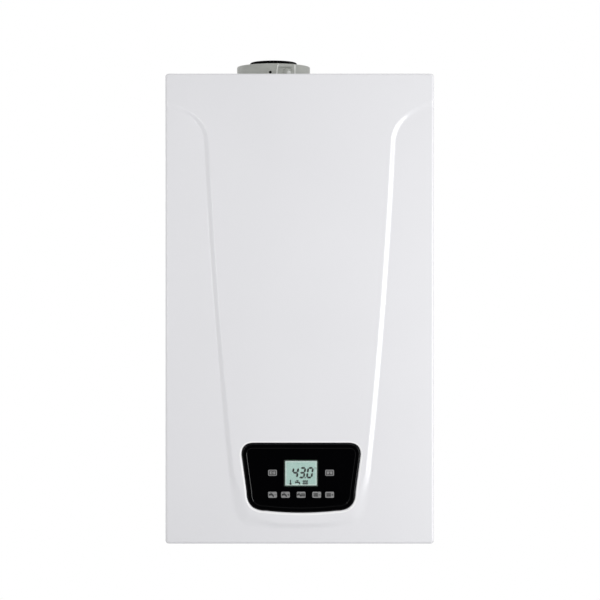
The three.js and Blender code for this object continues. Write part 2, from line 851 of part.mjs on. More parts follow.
function controlFacia() {
  const plate = roundedSlab(windowOutline(0), faciaBack, faciaFace, faciaEdge, 2, windowSteps);
  const x = windowMiddle;
  const z = up(displayCentre);
  const w = displayWidth / 2;
  const h = displayHeight / 2;
  const cuts = [
    plateY(roundedOutline(x - w, x + w, z - h, z + h, 1), faciaBack + 1, faciaFace - 1),
    plateY(
      roundedOutline(x - w - lensRim, x + w + lensRim, z - h - lensRim, z + h + lensRim, 1.5),
      faciaFace + lensThick + fit,
      faciaFace - 1,
    ),
  ];
  for (const [, across, height] of keys) {
    const kx = x + across;
    const kz = up(height);
    const kw = keyWidth / 2 + fit;
    const kh = keyHeight / 2 + fit;
    cuts.push(plateY(roundedOutline(kx - kw, kx + kw, kz - kh, kz + kh, 2), faciaBack + 1, faciaFace - 1));
    const rw = kw + keyRim;
    const rh = kh + keyRim;
    const shelf = faciaFace + keyShelf;
    cuts.push(plateY(roundedOutline(kx - rw, kx + rw, kz - rh, kz + rh, 2), faciaBack + 1, shelf));
  }
  return plate.subtract(joined(cuts));
}

function keyCap() {
  // Built about the centre of its face: cap, rim and stem towards the board
  const w = keyWidth / 2;
  const h = keyHeight / 2;
  const rimBack = keyShelf + fit + 1.6;
  const cap = roundedSlab(roundedOutline(-w, w, -h, h, 1.7), keyShelf + 1, -keyProud, 0.8, 1);
  const rim = plateY(
    roundedOutline(-w - keyRim, w + keyRim, -h - keyRim, h + keyRim, 1.7),
    keyShelf + fit,
    rimBack,
  );
  const stem = rodY(0, rimBack - 0.5, boardDepth - faciaSink - fit - keyTravel, 0, 2.5, 8);
  return joined([cap, rim, stem]);
}

function displayWindow() {
  const w = displayWidth / 2 + lensRim - fit;
  const h = displayHeight / 2 + lensRim - fit;
  const x = windowMiddle;
  const z = up(displayCentre);
  const outline = roundedOutline(x - w, x + w, z - h, z + h, 1.2);
  return plateY(outline, faciaFace + lensThick, faciaFace);
}

function displayModule() {
  const w = displayWidth / 2 - fit;
  const h = displayHeight / 2 - fit;
  const x = windowMiddle;
  const z = up(displayCentre);
  return block(x - w, x + w, faciaFace + lensThick + 2 * fit, boardFront - fit, z - h, z + h);
}

function controlHousing() {
  const low = up(boxLow);
  const high = up(boxHigh);
  const body = plateY(roundedOutline(-boxHalf, boxHalf, low, high, 8), boxBack, boxFront);
  const cavity = plateY(
    roundedOutline(-boxHalf + boxWall, boxHalf - boxWall, low + boxWall, high - boxWall, 5.5),
    boxBack + 1,
    boxFront + boxWall,
  );
  const port = plateY(
    roundedOutline(windowMiddle - portHalf, windowMiddle + portHalf, up(portLow), up(portHigh), 4),
    boxBack,
    boxFront - 1,
  );
  const pins = [-1, 1].map((side) => {
    return rodX(side * (boxHalf - 1), side * (boxHalf + pinReach), hingeY, up(hingeHeight), pinRadius);
  });
  // Seats for the board's corners, just behind it
  const seats = [];
  for (const side of [-1, 1]) {
    for (const height of [boardLow + 8, boardHigh - 8]) {
      seats.push(rodY(side * (boardHalf - 10), boxFront + 1, boardFront - fit, up(height), 4, 8));
    }
  }
  return joined([body.subtract(cavity).subtract(port), ...pins, ...seats]);
}

function circuitBoard() {
  const outline = roundedOutline(-boardHalf, boardHalf, up(boardLow), up(boardHigh), 2);
  const board = plateY(outline, boardFront + boardThick, boardFront);
  const back = boardFront + boardThick - 0.5;
  const parts = boardBlocks.map(([x0, x1, low, high, reach]) => {
    return block(x0, x1, back, back + reach, up(low), up(high));
  });
  for (const x of capacitors) {
    const z = up(capacitorHeight);
    parts.push(rodY(x, back, back + capacitorReach, z, capacitorRadius, 12));
  }
  return joined([board, ...parts]);
}

function controlRearCover() {
  const low = up(boxLow) + 1;
  const high = up(boxHigh) - 1;
  const front = boxBack + fit;
  const plate = plateY(roundedOutline(-boxHalf + 1, boxHalf - 1, low, high, 7), coverBack, front);
  const rim = boxWall + fit;
  const plugLow = up(boxLow) + rim;
  const plugHigh = up(boxHigh) - rim;
  const plug = plateY(
    roundedOutline(-boxHalf + rim, boxHalf - rim, plugLow, plugHigh, 5),
    front + 0.5,
    front - 3,
  );
  const hollow = plateY(
    roundedOutline(-boxHalf + rim + 2, boxHalf - rim - 2, plugLow + 2, plugHigh - 2, 4),
    front,
    front - 5,
  );
  const glands = [-40, 0, 40].map((x) => rodY(x, front - 5, front + 10, up(42), 6, 12));
  return joined([plate, plug]).subtract(joined([hollow, ...glands]));
}

function hingeBracket() {
  const foldY = foldFace;
  const seat = up(tabRise + sheet) + fit;
  const earIn = boxHalf + 1.5;
  const half = earIn + earThick;
  const strip = block(-half, half, foldY - fit, foldY - 12, seat, seat + sheet);
  const eye = up(hingeHeight);
  const ear = new THREE.Shape();
  ear.moveTo(foldY - fit, seat);
  ear.lineTo(foldY - fit, seat + 18);
  ear.lineTo(hingeY + 9, eye + 4);
  ear.absarc(hingeY, eye, 10, 0.4, Math.PI + 0.4, false);
  ear.lineTo(foldY - 14, seat);
  const ears = [-1, 1].map((side) => plateX(ear, side * earIn, side * half));
  const holes = rodX(-half - 5, half + 5, hingeY, eye, pinRadius + fit);
  return joined([strip, ...ears]).subtract(holes);
}

function buildControls() {
  const controls = new THREE.Group();
  boiler.add(controls);
  addPiece(controls, 'control_facia', controlFacia(), finish.blackGloss);
  addPiece(controls, 'display_window', displayWindow(), finish.lens);
  addPiece(controls, 'display_module', displayModule(), finish.lcd);
  for (const [name, across, height] of keys) {
    const place = [windowMiddle + across, faciaFace, up(height)];
    addPiece(controls, name, keyCap(), finish.keyPlastic, place);
  }
  addPiece(controls, 'control_housing', controlHousing(), finish.blackPlastic);
  addPiece(controls, 'circuit_board', circuitBoard(), finish.board);
  addPiece(controls, 'control_rear_cover', controlRearCover(), finish.blackPlastic);
  addPiece(controls, 'hinge_bracket', hingeBracket(), finish.zinc);
}

// ---------------------------------------------------------------- flue

function flueCollar() {
  const foot = caseTop + fit;
  const top = caseTop + collarHeight;
  const low = caseTop - collarDepth;
  const sides = 24;
  const wall = turnedZ(flueX, flueY, [
    [0, foot],
    [collarRadius, foot],
    [collarRadius, top - 2],
    [collarRadius - 2, top],
    [0, top],
  ], sides).subtract(rodZ(flueX, flueY, foot - 1, top + 1, airRadius, sides));
  const inner = rodZ(flueX, flueY, low, top + 2, gasRadius + gasWall, sides);
  const ribs = [0, 1, 2, 3].map((turn) => {
    const rib = new THREE.BoxGeometry(airRadius - gasRadius + 4, 3, 14);
    rib.translate((airRadius + gasRadius) / 2 + 1, 0, foot + 7);
    rib.rotateZ((turn * Math.PI) / 2 + Math.PI / 4);
    rib.translate(flueX, flueY, 0);
    return solidOf(rib);
  });
  const bosses = plugAngles.map((angle) => {
    const boss = plugRod(angle, collarRadius - 5, collarRadius + 1, plugRadius + 2.5, 16);
    return boss;
  });
  const bores = plugAngles.map((angle) => plugRod(angle, collarRadius - 4, collarRadius + 9, 3, 10));
  const gasBore = rodZ(flueX, flueY, low - 1, top + 9, gasRadius, sides);
  const body = joined([wall, inner, ...ribs, ...bosses]);
  return body.subtract(joined([gasBore, ...bores]));
}

// A rod that points out of the collar, at an angle from the front
function plugRod(angle, from, to, radius, sides) {
  const rod = new THREE.CylinderGeometry(radius, radius, to - from, sides);
  rod.translate(0, -(from + to) / 2, 0);
  rod.rotateZ(THREE.MathUtils.degToRad(angle));
  rod.translate(flueX, flueY, caseTop + plugHeight);
  return solidOf(rod);
}

function testCap(angle) {
  const seat = collarRadius + 1 + fit;
  const cap = plugRod(angle, seat, seat + plugReach, plugRadius, 14);
  const stem = plugRod(angle, collarRadius - 2, seat + 1, 3 - fit, 10);
  return cap.add(stem);
}

function flueSeal() {
  const inner = gasRadius + gasWall + fit;
  const low = caseTop + collarHeight - 9;
  const high = caseTop + sealRise;
  const over = caseTop + collarHeight + 2 + fit;
  return turnedZ(flueX, flueY, [
    [0, low],
    [sealRadius - 1.5, low],
    [sealRadius, low + 4],
    [sealRadius, high - 2],
    [sealRadius - 2, high],
    [0, high],
  ], 24).subtract(joined([
    rodZ(flueX, flueY, low - 1, over, inner, 24),
    rodZ(flueX, flueY, over - 1, high + 1, gasRadius, 24),
  ]));
}

function exhaustDuct() {
  const low = exchangerZ + exchangerRadius + exchangerCollar + fit;
  const high = caseTop - collarDepth - fit;
  return rodZ(flueX, flueY, low, high, gasRadius + gasWall, 16)
    .subtract(rodZ(flueX, flueY, low - 1, high + 1, gasRadius, 16));
}

function buildFlue() {
  const flue = new THREE.Group();
  boiler.add(flue);
  addPiece(flue, 'flue_collar', flueCollar(), finish.greyPlastic);
  addPiece(flue, 'flue_seal', flueSeal(), finish.rubber);
  addPiece(flue, 'test_cap_gas', testCap(plugAngles[0]), finish.blackPlastic);
  addPiece(flue, 'test_cap_air', testCap(plugAngles[1]), finish.blackPlastic);
  addPiece(flue, 'exhaust_duct', exhaustDuct(), finish.stainless);
}

// ---------------------------------------------------------------- combustion

function heatExchanger() {
  // A drum with its axis from back to front, with shallow cooling ribs round it
  const profile = [[0, -exchangerBack], [exchangerRadius - 6, -exchangerBack]];
  const pitch = exchangerDepth / exchangerRibs;
  for (let rib = 0; rib < exchangerRibs; rib += 1) {
    const start = -exchangerBack - rib * pitch;
    profile.push([exchangerRadius - 4, start - 0.1 * pitch]);
    profile.push([exchangerRadius, start - 0.3 * pitch]);
    profile.push([exchangerRadius, start - 0.8 * pitch]);
  }
  profile.push([exchangerRadius - 4, exchangerFront]);
  profile.push([0, exchangerFront]);
  const drum = turnedY(flueX, exchangerZ, profile, 20);
  const bottom = exchangerZ - exchangerRadius;
  const top = exchangerZ + exchangerRadius + exchangerCollar;
  const spigots = [
    rodZ(flueX, flueY, exchangerZ + fluePort, top, gasRadius + 6, 16),
    rodZ(flowX, riserY, portEnd, exchangerZ - 40, portRadius),
    rodZ(riserReturnX, riserY, portEnd, exchangerZ - 40, portRadius),
    rodZ(flueX, drainY, bottom - exchangerCollar, bottom + 20, 12),
    rodY(flueX, -exchangerBack - 5, backFace - fit, exchangerZ + 60, 14),
    rodY(flueX, -exchangerBack - 5, backFace - fit, exchangerZ - 60, 14),
  ];
  const chamber = rodY(flueX, exchangerFront - 1, -exchangerBack - 15, exchangerZ, chamberRadius, 16);
  const flueBore = rodZ(flueX, flueY, exchangerZ + 30, top + 1, gasRadius, 16);
  return joined([drum, ...spigots]).subtract(joined([chamber, flueBore]));
}

function burnerDoor() {
  const disc = turnedY(flueX, exchangerZ, [
    [0, doorBack],
    [doorRadius, doorBack],
    [doorRadius, doorBack - 6],
    [doorRadius - 8, doorBack - 9],
    [ductHead + 12, doorBack - 10],
    [ductHead + 8, doorFront],
    [0, doorFront],
  ], 24);
  const bolts = [];
  for (let i = 0; i < 6; i += 1) {
    const angle = ((i + 0.5) * Math.PI) / 3;
    const x = flueX + (doorRadius - 12) * Math.cos(angle);
    const z = exchangerZ + (doorRadius - 12) * Math.sin(angle);
    bolts.push(rodY(x, doorBack - 5, doorBack - 14, z, 6, 6));
  }
  const mouth = rodY(flueX, doorBack + 1, doorFront - 1, exchangerZ, burnerRadius - 3, 14);
  const lead = electrodePlace();
  const electrodeHole = rodY(lead.x, doorBack + 1, doorFront - 5, lead.z, 4 + fit, 10);
  const electrodeSeat = rodY(lead.x, doorBack - 11 + fit, doorFront - 5, lead.z, 7 + 2 * fit, 10);
  return joined([disc, ...bolts]).subtract(joined([mouth, electrodeHole, electrodeSeat]));
}

function electrodePlace() {
  return { x: flueX + 46, z: exchangerZ + 46 };
}

function burnerTube() {
  const flange = doorBack + fit;
  const end = -exchangerBack - 35;
  return turnedY(flueX, exchangerZ, [
    [0, end],
    [burnerRadius - 4, end],
    [burnerRadius, end - 4],
    [burnerRadius, flange + 3],
    [burnerRadius + 8, flange + 3],
    [burnerRadius + 8, flange],
    [burnerRadius - 2, flange],
    [burnerRadius - 2, end - 6],
    [0, end - 6],
  ]);
}

// Distribution duct in front of the door: a round head over a straight neck
function ductOutline(inset, foot) {
  const half = ductNeck / 2 - inset;
  const head = ductHead - inset;
  const angle = Math.asin(half / head);
  const shape = new THREE.Shape();
  shape.moveTo(flueX - half, foot);
  shape.lineTo(flueX + half, foot);
  shape.absarc(flueX, exchangerZ, head, -Math.PI / 2 + angle, 1.5 * Math.PI - angle, false);
  return shape;
}

function gasAirDuct() {
  const wall = 3;
  const foot = scrollTop + fit;
  const shell = plateY(ductOutline(0, foot), ductBack, ductFront, 10);
  const inside = plateY(ductOutline(wall, foot - 5), ductBack - wall, ductFront + wall, 10);
  const mouth = rodY(flueX, ductBack + 1, ductBack - 10, exchangerZ, burnerRadius - 3, 14);
  return shell.subtract(joined([inside, mouth]));
}

// The scroll grows steadily round the fan, then leaves upwards through a straight neck
function scrollOutline(grow, top) {
  const neckRight = flueX + ductNeck / 2 + grow;
  const neckLeft = flueX - ductNeck / 2 - grow;
  const start = Math.acos((neckRight - fanX) / (scrollNear + grow));
  const steps = 20;
  const points = [[neckRight, top]];
  for (let i = 0; i <= steps; i += 1) {
    const angle = start - ((start + Math.PI) * i) / steps;
    const radius = scrollNear + grow + ((scrollFar - scrollNear) * i) / steps;
    points.push([fanX + radius * Math.cos(angle), fanZ + radius * Math.sin(angle)]);
  }
  points.push([neckLeft, fanZ]);
  points.push([neckLeft, top]);
  return polygon(points.reverse());
}

function fanHousing() {
  const body = plateY(scrollOutline(scrollWall, scrollTop), scrollBack, scrollFront);
  const cavity = plateY(scrollOutline(0, scrollTop + 5), scrollBack - 3, scrollFront + 3);
  const half = ductNeck / 2 + scrollWall;
  const flange = block(
    flueX - half - 5, flueX + half + 5, ductBack + 3, ductFront, scrollTop - 4, scrollTop,
  );
  const throat = block(
    flueX - ductNeck / 2, flueX + ductNeck / 2, ductBack - 3, ductFront + 3, scrollTop - 8, scrollTop + 1,
  );
  const inlet = rodY(fanX, scrollFront - 1, scrollFront + 5, fanZ, snorkelRadius + 3, 16);
  const shaft = rodY(fanX, scrollBack + 1, scrollBack - 5, fanZ, shaftRadius + 1.5, 12);
  return joined([body, flange]).subtract(joined([cavity, throat, inlet, shaft]));
}

function fanImpeller() {
  const back = scrollBack - 3 - 4;
  const front = scrollFront + 3 + 5;
  const plate = rodY(fanX, back, back - 2, fanZ, impellerRadius, 22);
  const hub = rodY(fanX, back, back - 18, fanZ, 10, 16);
  const shaft = rodY(fanX, back - 5, scrollBack + 30, fanZ, shaftRadius, 12);
  const blades = [];
  const bladeIn = 24;
  for (let i = 0; i < bladeCount; i += 1) {
    const angle = (2 * Math.PI * i) / bladeCount;
    const line = new THREE.Shape();
    line.moveTo(bladeIn, 0);
    line.quadraticCurveTo((bladeIn + impellerRadius) / 2, -9, impellerRadius - 1, -4);
    line.lineTo(impellerRadius - 1, -2.4);
    line.quadraticCurveTo((bladeIn + impellerRadius) / 2, -7, bladeIn, 1.6);
    const blade = new THREE.ExtrudeGeometry(line, {
      depth: back - front,
      bevelEnabled: false,
      curveSegments: 3,
    });
    blade.rotateZ(angle);
    blade.rotateX(Math.PI / 2);
    blade.translate(fanX, back - 1, fanZ);
    blades.push(solidOf(blade));
  }
  return joined([plate, hub, shaft, ...blades]);
}

function fanMotor() {
  const front = scrollBack + fit;
  const back = front + fanMotorDepth;
  const body = turnedY(fanX, fanZ, [
    [0, front],
    [fanMotorRadius, front],
    [fanMotorRadius, front + 6],
    [fanMotorRadius - 5, front + 9],
    [fanMotorRadius - 5, back - 8],
    [fanMotorRadius - 12, back],
    [0, back],
  ]);
  const bore = rodY(fanX, front - 1, front + 34, fanZ, shaftRadius + fit, 12);
  return body.subtract(bore);
}

// Venturi with the air snorkel and the gas inlet
function airIntake() {
  const back = scrollFront - fit;
  const front = back - venturiDepth;
  const middle = (back + front) / 2;
  const barrel = turnedY(fanX, fanZ, [
    [0, back],
    [venturiRadius + 4, back],
    [venturiRadius + 4, back - 4],
    [venturiRadius, back - 5],
    [venturiRadius, front + 4],
    [venturiRadius - 4, front],
    [0, front],
  ]);
  const snorkel = rodX(fanX, fanX + snorkelReach, middle, fanZ, snorkelRadius, 16);
  const inlet = rodZ(fanX, middle, valveTop + fit, fanZ, 12);
  const bores = [
    rodY(fanX, back + 1, front + 3, fanZ, snorkelRadius - 3, 16),
    rodX(fanX, fanX + snorkelReach + 1, middle, fanZ, snorkelRadius - 3, 16),
  ];
  return joined([barrel, snorkel, inlet]).subtract(joined(bores));
}

function gasValve() {
  const low = valveTop - valveHeight;
  const front = valveBack - valveDepth;
  const body = plateY(
    roundedOutline(fanX - valveHalf, fanX + valveHalf, low + 12, valveTop - 4, 5),
    valveBack,
    front,
  );
  const middle = (valveBack + front) / 2;
  const flange = rodZ(fanX, scrollFront - fit - venturiDepth / 2, valveTop - 8, valveTop, 17);
  const coil = rodZ(fanX - 14, middle, low, low + valveCoil, 13);
  const coilTwo = rodZ(fanX + 15, middle, low, low + valveCoil, 13);
  return joined([body, flange, coil, coilTwo]);
}

function gasPipe() {
  const tail = up(tailEnd);
  const corners = [[gasX, rowY, tail], [gasX, rowY, gasTurn], [gasX, valveBack + fit, gasTurn]];
  return pipe(corners, largePipe, 30).add(tailNut(gasX, largePipe));
}

function sparkElectrode() {
  const place = electrodePlace();
  return turnedY(place.x, place.z, [
    [0, exchangerFront + 18],
    [1.5, exchangerFront + 18],
    [1.5, doorBack + 3],
    [4, doorBack + 3],
    [4, doorBack - 11],
    [7, doorBack - 11],
    [7, doorBack - 17],
    [4, doorBack - 19],
    [4, doorBack - 34],
    [0, doorBack - 34],
  ], 12);
}

function buildCombustion() {
  const combustion = new THREE.Group();
  boiler.add(combustion);
  addPiece(combustion, 'heat_exchanger', heatExchanger(), finish.castAluminium);
  addPiece(combustion, 'burner_door', burnerDoor(), finish.castAluminium);
  addPiece(combustion, 'burner_tube', burnerTube(), finish.stainless);
  addPiece(combustion, 'gas_air_duct', gasAirDuct(), finish.castAluminium);
  addPiece(combustion, 'fan_housing', fanHousing(), finish.castAluminium);
  addPiece(combustion, 'fan_impeller', fanImpeller(), finish.castAluminium);
  addPiece(combustion, 'fan_motor', fanMotor(), finish.blackPlastic);
  addPiece(combustion, 'air_intake', airIntake(), finish.blackPlastic);
  addPiece(combustion, 'gas_valve', gasValve(), finish.castAluminium);
  addPiece(combustion, 'gas_pipe', gasPipe(), finish.copper);
  addPiece(combustion, 'spark_electrode', sparkElectrode(), finish.whitePlastic);
}

// ---------------------------------------------------------------- water side

function plateHeatExchanger() {
  const low = up(plateLow);
  const plates = [];
  for (let i = 0; i < plateCount; i += 1) {
    const y = -plateBack - i * platePitch;
    const outline = roundedOutline(-plateHalf, plateHalf, low, low + plateHeight, 16);
    plates.push(plateY(outline, y, y - plateThick));
  }
  const core = roundedOutline(-plateHalf + 2, plateHalf - 2, low + 2, low + plateHeight - 2, 14);
  plates.push(plateY(core, -plateBack - 1, plateFront));
  return joined(plates);
}

// The pump's and the diverter's arms that carry the plate exchanger
function carryingArm(side) {
  const x = side * armX;
  return joined([
    rodX(x, side * returnX, rowY, groupZ, armRadius, 12),
    rodY(x, rowY - armRadius, plateFront - fit, groupZ, armRadius, 12),
  ]);
}

function pumpVolute() {
  const back = rowY + voluteDepth / 2;
  const front = rowY - voluteDepth / 2;
  const body = rodY(returnX, back, front, groupZ, voluteRadius, 16);
  const parts = [
    rodZ(returnX, rowY, up(diverterLow), groupZ, largePipe + 4),
    heatingTail(returnX),
    rodZ(ventX, rowY, groupZ, ventSeat - fit, 9, 12),
    rodZ(cockX, rowY, cockTop + fit, groupZ, 8, 12),
    rodY(riserStartX, back + 14, back - 5, groupZ + riserRise, portRadius),
    rodZ(vesselPipeX, rowY, groupZ, groupZ + voluteRadius + 10 - fit, 8, 12),
    carryingArm(1),
  ];
  const cavity = rodY(returnX, back - 8, front - 1, groupZ, rotorRadius + 5, 16);
  return joined([body, ...parts]).subtract(cavity);
}

function pumpMotor() {
  const back = rowY - voluteDepth / 2 - fit;
  const front = back - pumpMotorDepth;
  const body = turnedY(returnX, groupZ, [
    [0, back],
    [pumpMotorRadius, back],
    [pumpMotorRadius, back - 7],
    [pumpMotorRadius - 5, back - 9],
    [pumpMotorRadius - 5, front + 10],
    [pumpMotorRadius - 12, front],
    [0, front],
  ]);
  const bore = rodY(returnX, back + 1, front + 25, groupZ, shaftRadius + fit, 12);
  const terminalBox = block(returnX - 24, returnX + 24, back - 20, front + 14, groupZ + 20, groupZ + 48);
  return body.add(terminalBox).subtract(bore);
}

function pumpRotor() {
  const back = rowY + voluteDepth / 2 - 8 - 4;
  const front = rowY - voluteDepth / 2;
  const disc = rodY(returnX, back, back - 3, groupZ, rotorRadius, 16);
  const shroud = rodY(returnX, back - 14, back - 17, groupZ, rotorRadius, 16);
  const vanes = [];
  for (let i = 0; i < 6; i += 1) {
    const vane = new THREE.BoxGeometry(rotorRadius - 9, 13, 2.5);
    vane.translate((rotorRadius + 7) / 2, 0, 3);
    vane.rotateY((i * Math.PI) / 3);
    vane.translate(returnX, back - 8.5, groupZ);
    vanes.push(solidOf(vane));
  }
  const shaft = rodY(returnX, back, front - pumpMotorDepth + 32, groupZ, shaftRadius, 12);
  const hub = rodY(returnX, back, back - 17, groupZ, 9, 12);
  return joined([disc, shroud, hub, shaft, ...vanes]);
}

function airVent() {
  return turnedZ(ventX, rowY, [
    [0, ventSeat],
    [10, ventSeat],
    [10, ventSeat + 5],
    [13, ventSeat + 8],
    [13, ventSeat + 42],
    [9, ventSeat + 45],
    [5, ventSeat + 46],
    [5, ventSeat + 52],
    [0, ventSeat + 52],
  ], 16);
}

// The vessel's rounded form, or the same form drawn in by its wall
function vesselForm(inset) {
  const back = -vesselBack - inset;
  const front = -vesselBack - vesselDepth + inset;
  const rounding = vesselRounding - inset;
  const outline = roundedOutline(front, back, up(vesselLow) + inset, up(vesselHigh) - inset, 32 - inset);
  const shell = new THREE.ExtrudeGeometry(outline, {
    depth: vesselWidth - 2 * vesselRounding,
    curveSegments: 2,
    bevelThickness: rounding,
    bevelSize: rounding,
    bevelOffset: -rounding,
    bevelSegments: 2,
  });
  shell.applyMatrix4(new THREE.Matrix4().set(0, 0, 1, 0, 1, 0, 0, 0, 0, 1, 0, 0, 0, 0, 0, 1));
  shell.translate(vesselLeft + vesselRounding, 0, 0);
  return solidOf(shell);
}

function expansionVessel() {
  // Two pressed halves with a crimped rim between them, hollow down to the stub's bore
  const back = -vesselBack;
  const front = back - vesselDepth;
  const low = up(vesselLow);
  const high = up(vesselHigh);
  const rim = plateX(
    roundedOutline(front - 3, back + 3, low - 3, high + 3, 35),
    vesselMiddle - 4,
    vesselMiddle + 4,
    2,
  );
  const stub = rodZ(vesselMiddle, rowY, low - 12, low + 15, 9);
  const lugs = [0.25, 0.75].map((share) => {
    return rodY(vesselMiddle, backFace - fit, back - 5, low + share * (high - low), 9);
  });
  const bore = rodZ(vesselMiddle, rowY, low - 13, low + 20, 4, 8);
  return joined([vesselForm(0), rim, stub, ...lugs]).subtract(vesselForm(vesselWall).add(bore));
}

function diverterBody() {
  const low = up(diverterLow);
  const high = up(diverterHigh);
  const body = turnedZ(flowX, rowY, [
    [0, low],
    [largePipe + 4, low],
    [largePipe + 4, low + 12],
    [diverterRadius, low + 16],
    [diverterRadius, high - 14],
    [diverterRadius - 5, high - 10],
    [diverterRadius - 5, high],
    [0, high],
  ], 14);
  const rear = rodY(flowX, rowY, riserTurnY - 5, up(flowPort), portRadius);
  const reliefPort = rodY(flowX, rowY, reliefFace, groupZ, 12);
  const bore = rodZ(flowX, rowY, groupZ + 8, high + 1, spindleRadius + fit, 10);
  const reliefBore = rodY(flowX, reliefFace - 1, reliefFace + 12, groupZ, 3 + fit, 10);
  const parts = [body, rear, reliefPort, carryingArm(-1), heatingTail(flowX)];
  return joined(parts).subtract(joined([bore, reliefBore]));
}

function diverterSpindle() {
  const low = groupZ + 8 + fit;
  return rodZ(flowX, rowY, low, up(diverterHigh) + spindleReach, spindleRadius, 10);
}

function diverterMotor() {
  const low = up(diverterHigh) + fit;
  const outline = roundedOutline(flowX - 22, flowX + 22, rowY - 30, rowY + 24, 6);
  const body = plateZ(outline, low, low + motorHeight);
  const collar = rodZ(flowX, rowY, low, low + 5, diverterRadius + 1, 20);
  const boreTop = low + spindleReach + spindleTravel + 3;
  const bore = rodZ(flowX, rowY, low - 1, boreTop, spindleRadius + fit, 10);
  return body.add(collar).subtract(bore);
}

function reliefKnob() {
  const face = reliefFace - fit;
  const knob = turnedY(flowX, groupZ, [
    [0, face],
    [13, face],
    [15, face - 3],
    [15, face - 16],
    [12, face - 19],
    [0, face - 19],
  ], 12);
  const stem = rodY(flowX, face - 2, face + 11, groupZ, 3, 10);
  const flutes = [];
  for (let i = 0; i < 6; i += 1) {
    const angle = (i * Math.PI) / 3;
    const x = flowX + 17 * Math.cos(angle);
    flutes.push(rodY(x, face - 5, face - 22, groupZ + 17 * Math.sin(angle), 4, 8));
  }
  return knob.add(stem).subtract(joined(flutes));
}

// Union nut of a connection tail
function tailNut(x, radius) {
  return rodZ(x, rowY, up(8), up(22), radius + 4.5, 6);
}

// The brass bodies run down into their own heating connections
function heatingTail(x) {
  return rodZ(x, rowY, up(tailEnd), up(diverterLow) + 5, largePipe).add(tailNut(x, largePipe));
}

function flowRiser() {
  const z = up(flowPort);
  const corners = [[flowX, riserTurnY - 5 + fit, z], [flowX, riserY, z], [flowX, riserY, portEnd - fit]];
  return pipe(corners, riserRadius, 16);
}

function returnRiser() {
  const z = groupZ + riserRise;
  const start = rowY + voluteDepth / 2 + 14 + fit;
  const turn = up(vesselLow) - 28;
  return pipe([
    [riserStartX, start, z],
    [riserStartX, riserY, z],
    [riserStartX, riserY, turn],
    [riserReturnX, riserY, turn],
    [riserReturnX, riserY, portEnd - fit],
  ], riserRadius, 16);
}

function tapWaterPipe(x) {
  const y = -(plateBack + 25);
  const turn = up(52);
  const run = pipe([
    [x, y, up(plateLow) - fit],
    [x, y, turn],
    [x, rowY, turn],
    [x, rowY, up(tailEnd)],
  ], smallPipe, 14);
  return run.add(tailNut(x, smallPipe));
}

function expansionPipe() {
  const low = groupZ + voluteRadius + 10;
  const turn = up(vesselLow) - 40;
  return pipe([
    [vesselPipeX, rowY, low],
    [vesselPipeX, rowY, turn],
    [vesselMiddle, rowY, turn],
    [vesselMiddle, rowY, up(vesselLow) - 12 - fit],
  ], 5, 12, 8);
}

function condensateTrap() {
  const low = up(trapLow);
  const high = trapHigh;
  return turnedZ(trapX, trapY, [
    [0, up(4)],
    [9, up(4)],
    [9, floorTop + fit],
    [18, floorTop + fit],
    [18, floorTop + 4],
    [12, floorTop + 5],
    [12, low],
    [trapRadius - 4, low + 4],
    [trapRadius, low + 10],
    [trapRadius, high - 30],
    [trapRadius + trapLip, high - 29],
    [trapRadius + trapLip, high - 14],
    [trapRadius - 4, high - 10],
    [hoseRadius + 4, high],
    [0, high],
  ], 14);
}

// The ribbed hose: rings of eight points that swell and draw in along its run
function condensateHose() {
  const top = exchangerZ - exchangerRadius - exchangerCollar - fit;
  const run = new PipeRun([
    [flueX, drainY, top],
    [flueX, drainY, hoseCross],
    [trapX, trapY, hoseCross],
    [trapX, trapY, trapHigh + fit],
  ], 32, 10);
  const plain = 2 * hoseRadius;
  const length = run.total;
  const pitch = (length - 2 * plain) / hoseRibCount;
  const outer = [[0, hoseRadius - hoseRib], [plain, hoseRadius - hoseRib]];
  for (let rib = 0; rib < hoseRibCount; rib += 1) {
    outer.push([plain + (rib + 0.5) * pitch, hoseRadius]);
    outer.push([plain + (rib + 1) * pitch, hoseRadius - hoseRib]);
  }
  outer.push([length, hoseRadius - hoseRib]);
  const inner = [];
  for (let i = 0; i < outer.length; i += 10) {
    inner.push([outer[i][0], hoseBore]);
  }
  if (inner[inner.length - 1][0] < length) {
    inner.push([length, hoseBore]);
  }
  return sweptTube(run, outer, inner.reverse(), 8);
}

// Joins rings along a run into one closed tube: out along the outside and back along the bore
function sweptTube(run, outer, inner, sides) {
  const rings = [...outer, ...inner];
  const positions = [];
  const side = new THREE.Vector3(1, 0, 0);
  for (const [distance, radius] of rings) {
    const { place, heading } = run.at(distance);
    const across = side.clone().addScaledVector(heading, -side.dot(heading)).normalize();
    const over = heading.clone().cross(across);
    for (let i = 0; i < sides; i += 1) {
      const angle = (2 * Math.PI * i) / sides;
      const point = place.clone();
      point.addScaledVector(across, radius * Math.cos(angle));
      point.addScaledVector(over, radius * Math.sin(angle));
      positions.push(point.x, point.y, point.z);
    }
  }
  const index = [];
  for (let k = 0; k < rings.length; k += 1) {
    const next = (k + 1) % rings.length;
    for (let i = 0; i < sides; i += 1) {
      const j = (i + 1) % sides;
      index.push(k * sides + i, k * sides + j, next * sides + i);
      index.push(k * sides + j, next * sides + j, next * sides + i);
    }
  }
  const geometry = new THREE.BufferGeometry();
  geometry.setAttribute('position', new THREE.Float32BufferAttribute(positions, 3));
  geometry.setIndex(index);
  return solidOf(geometry);
}

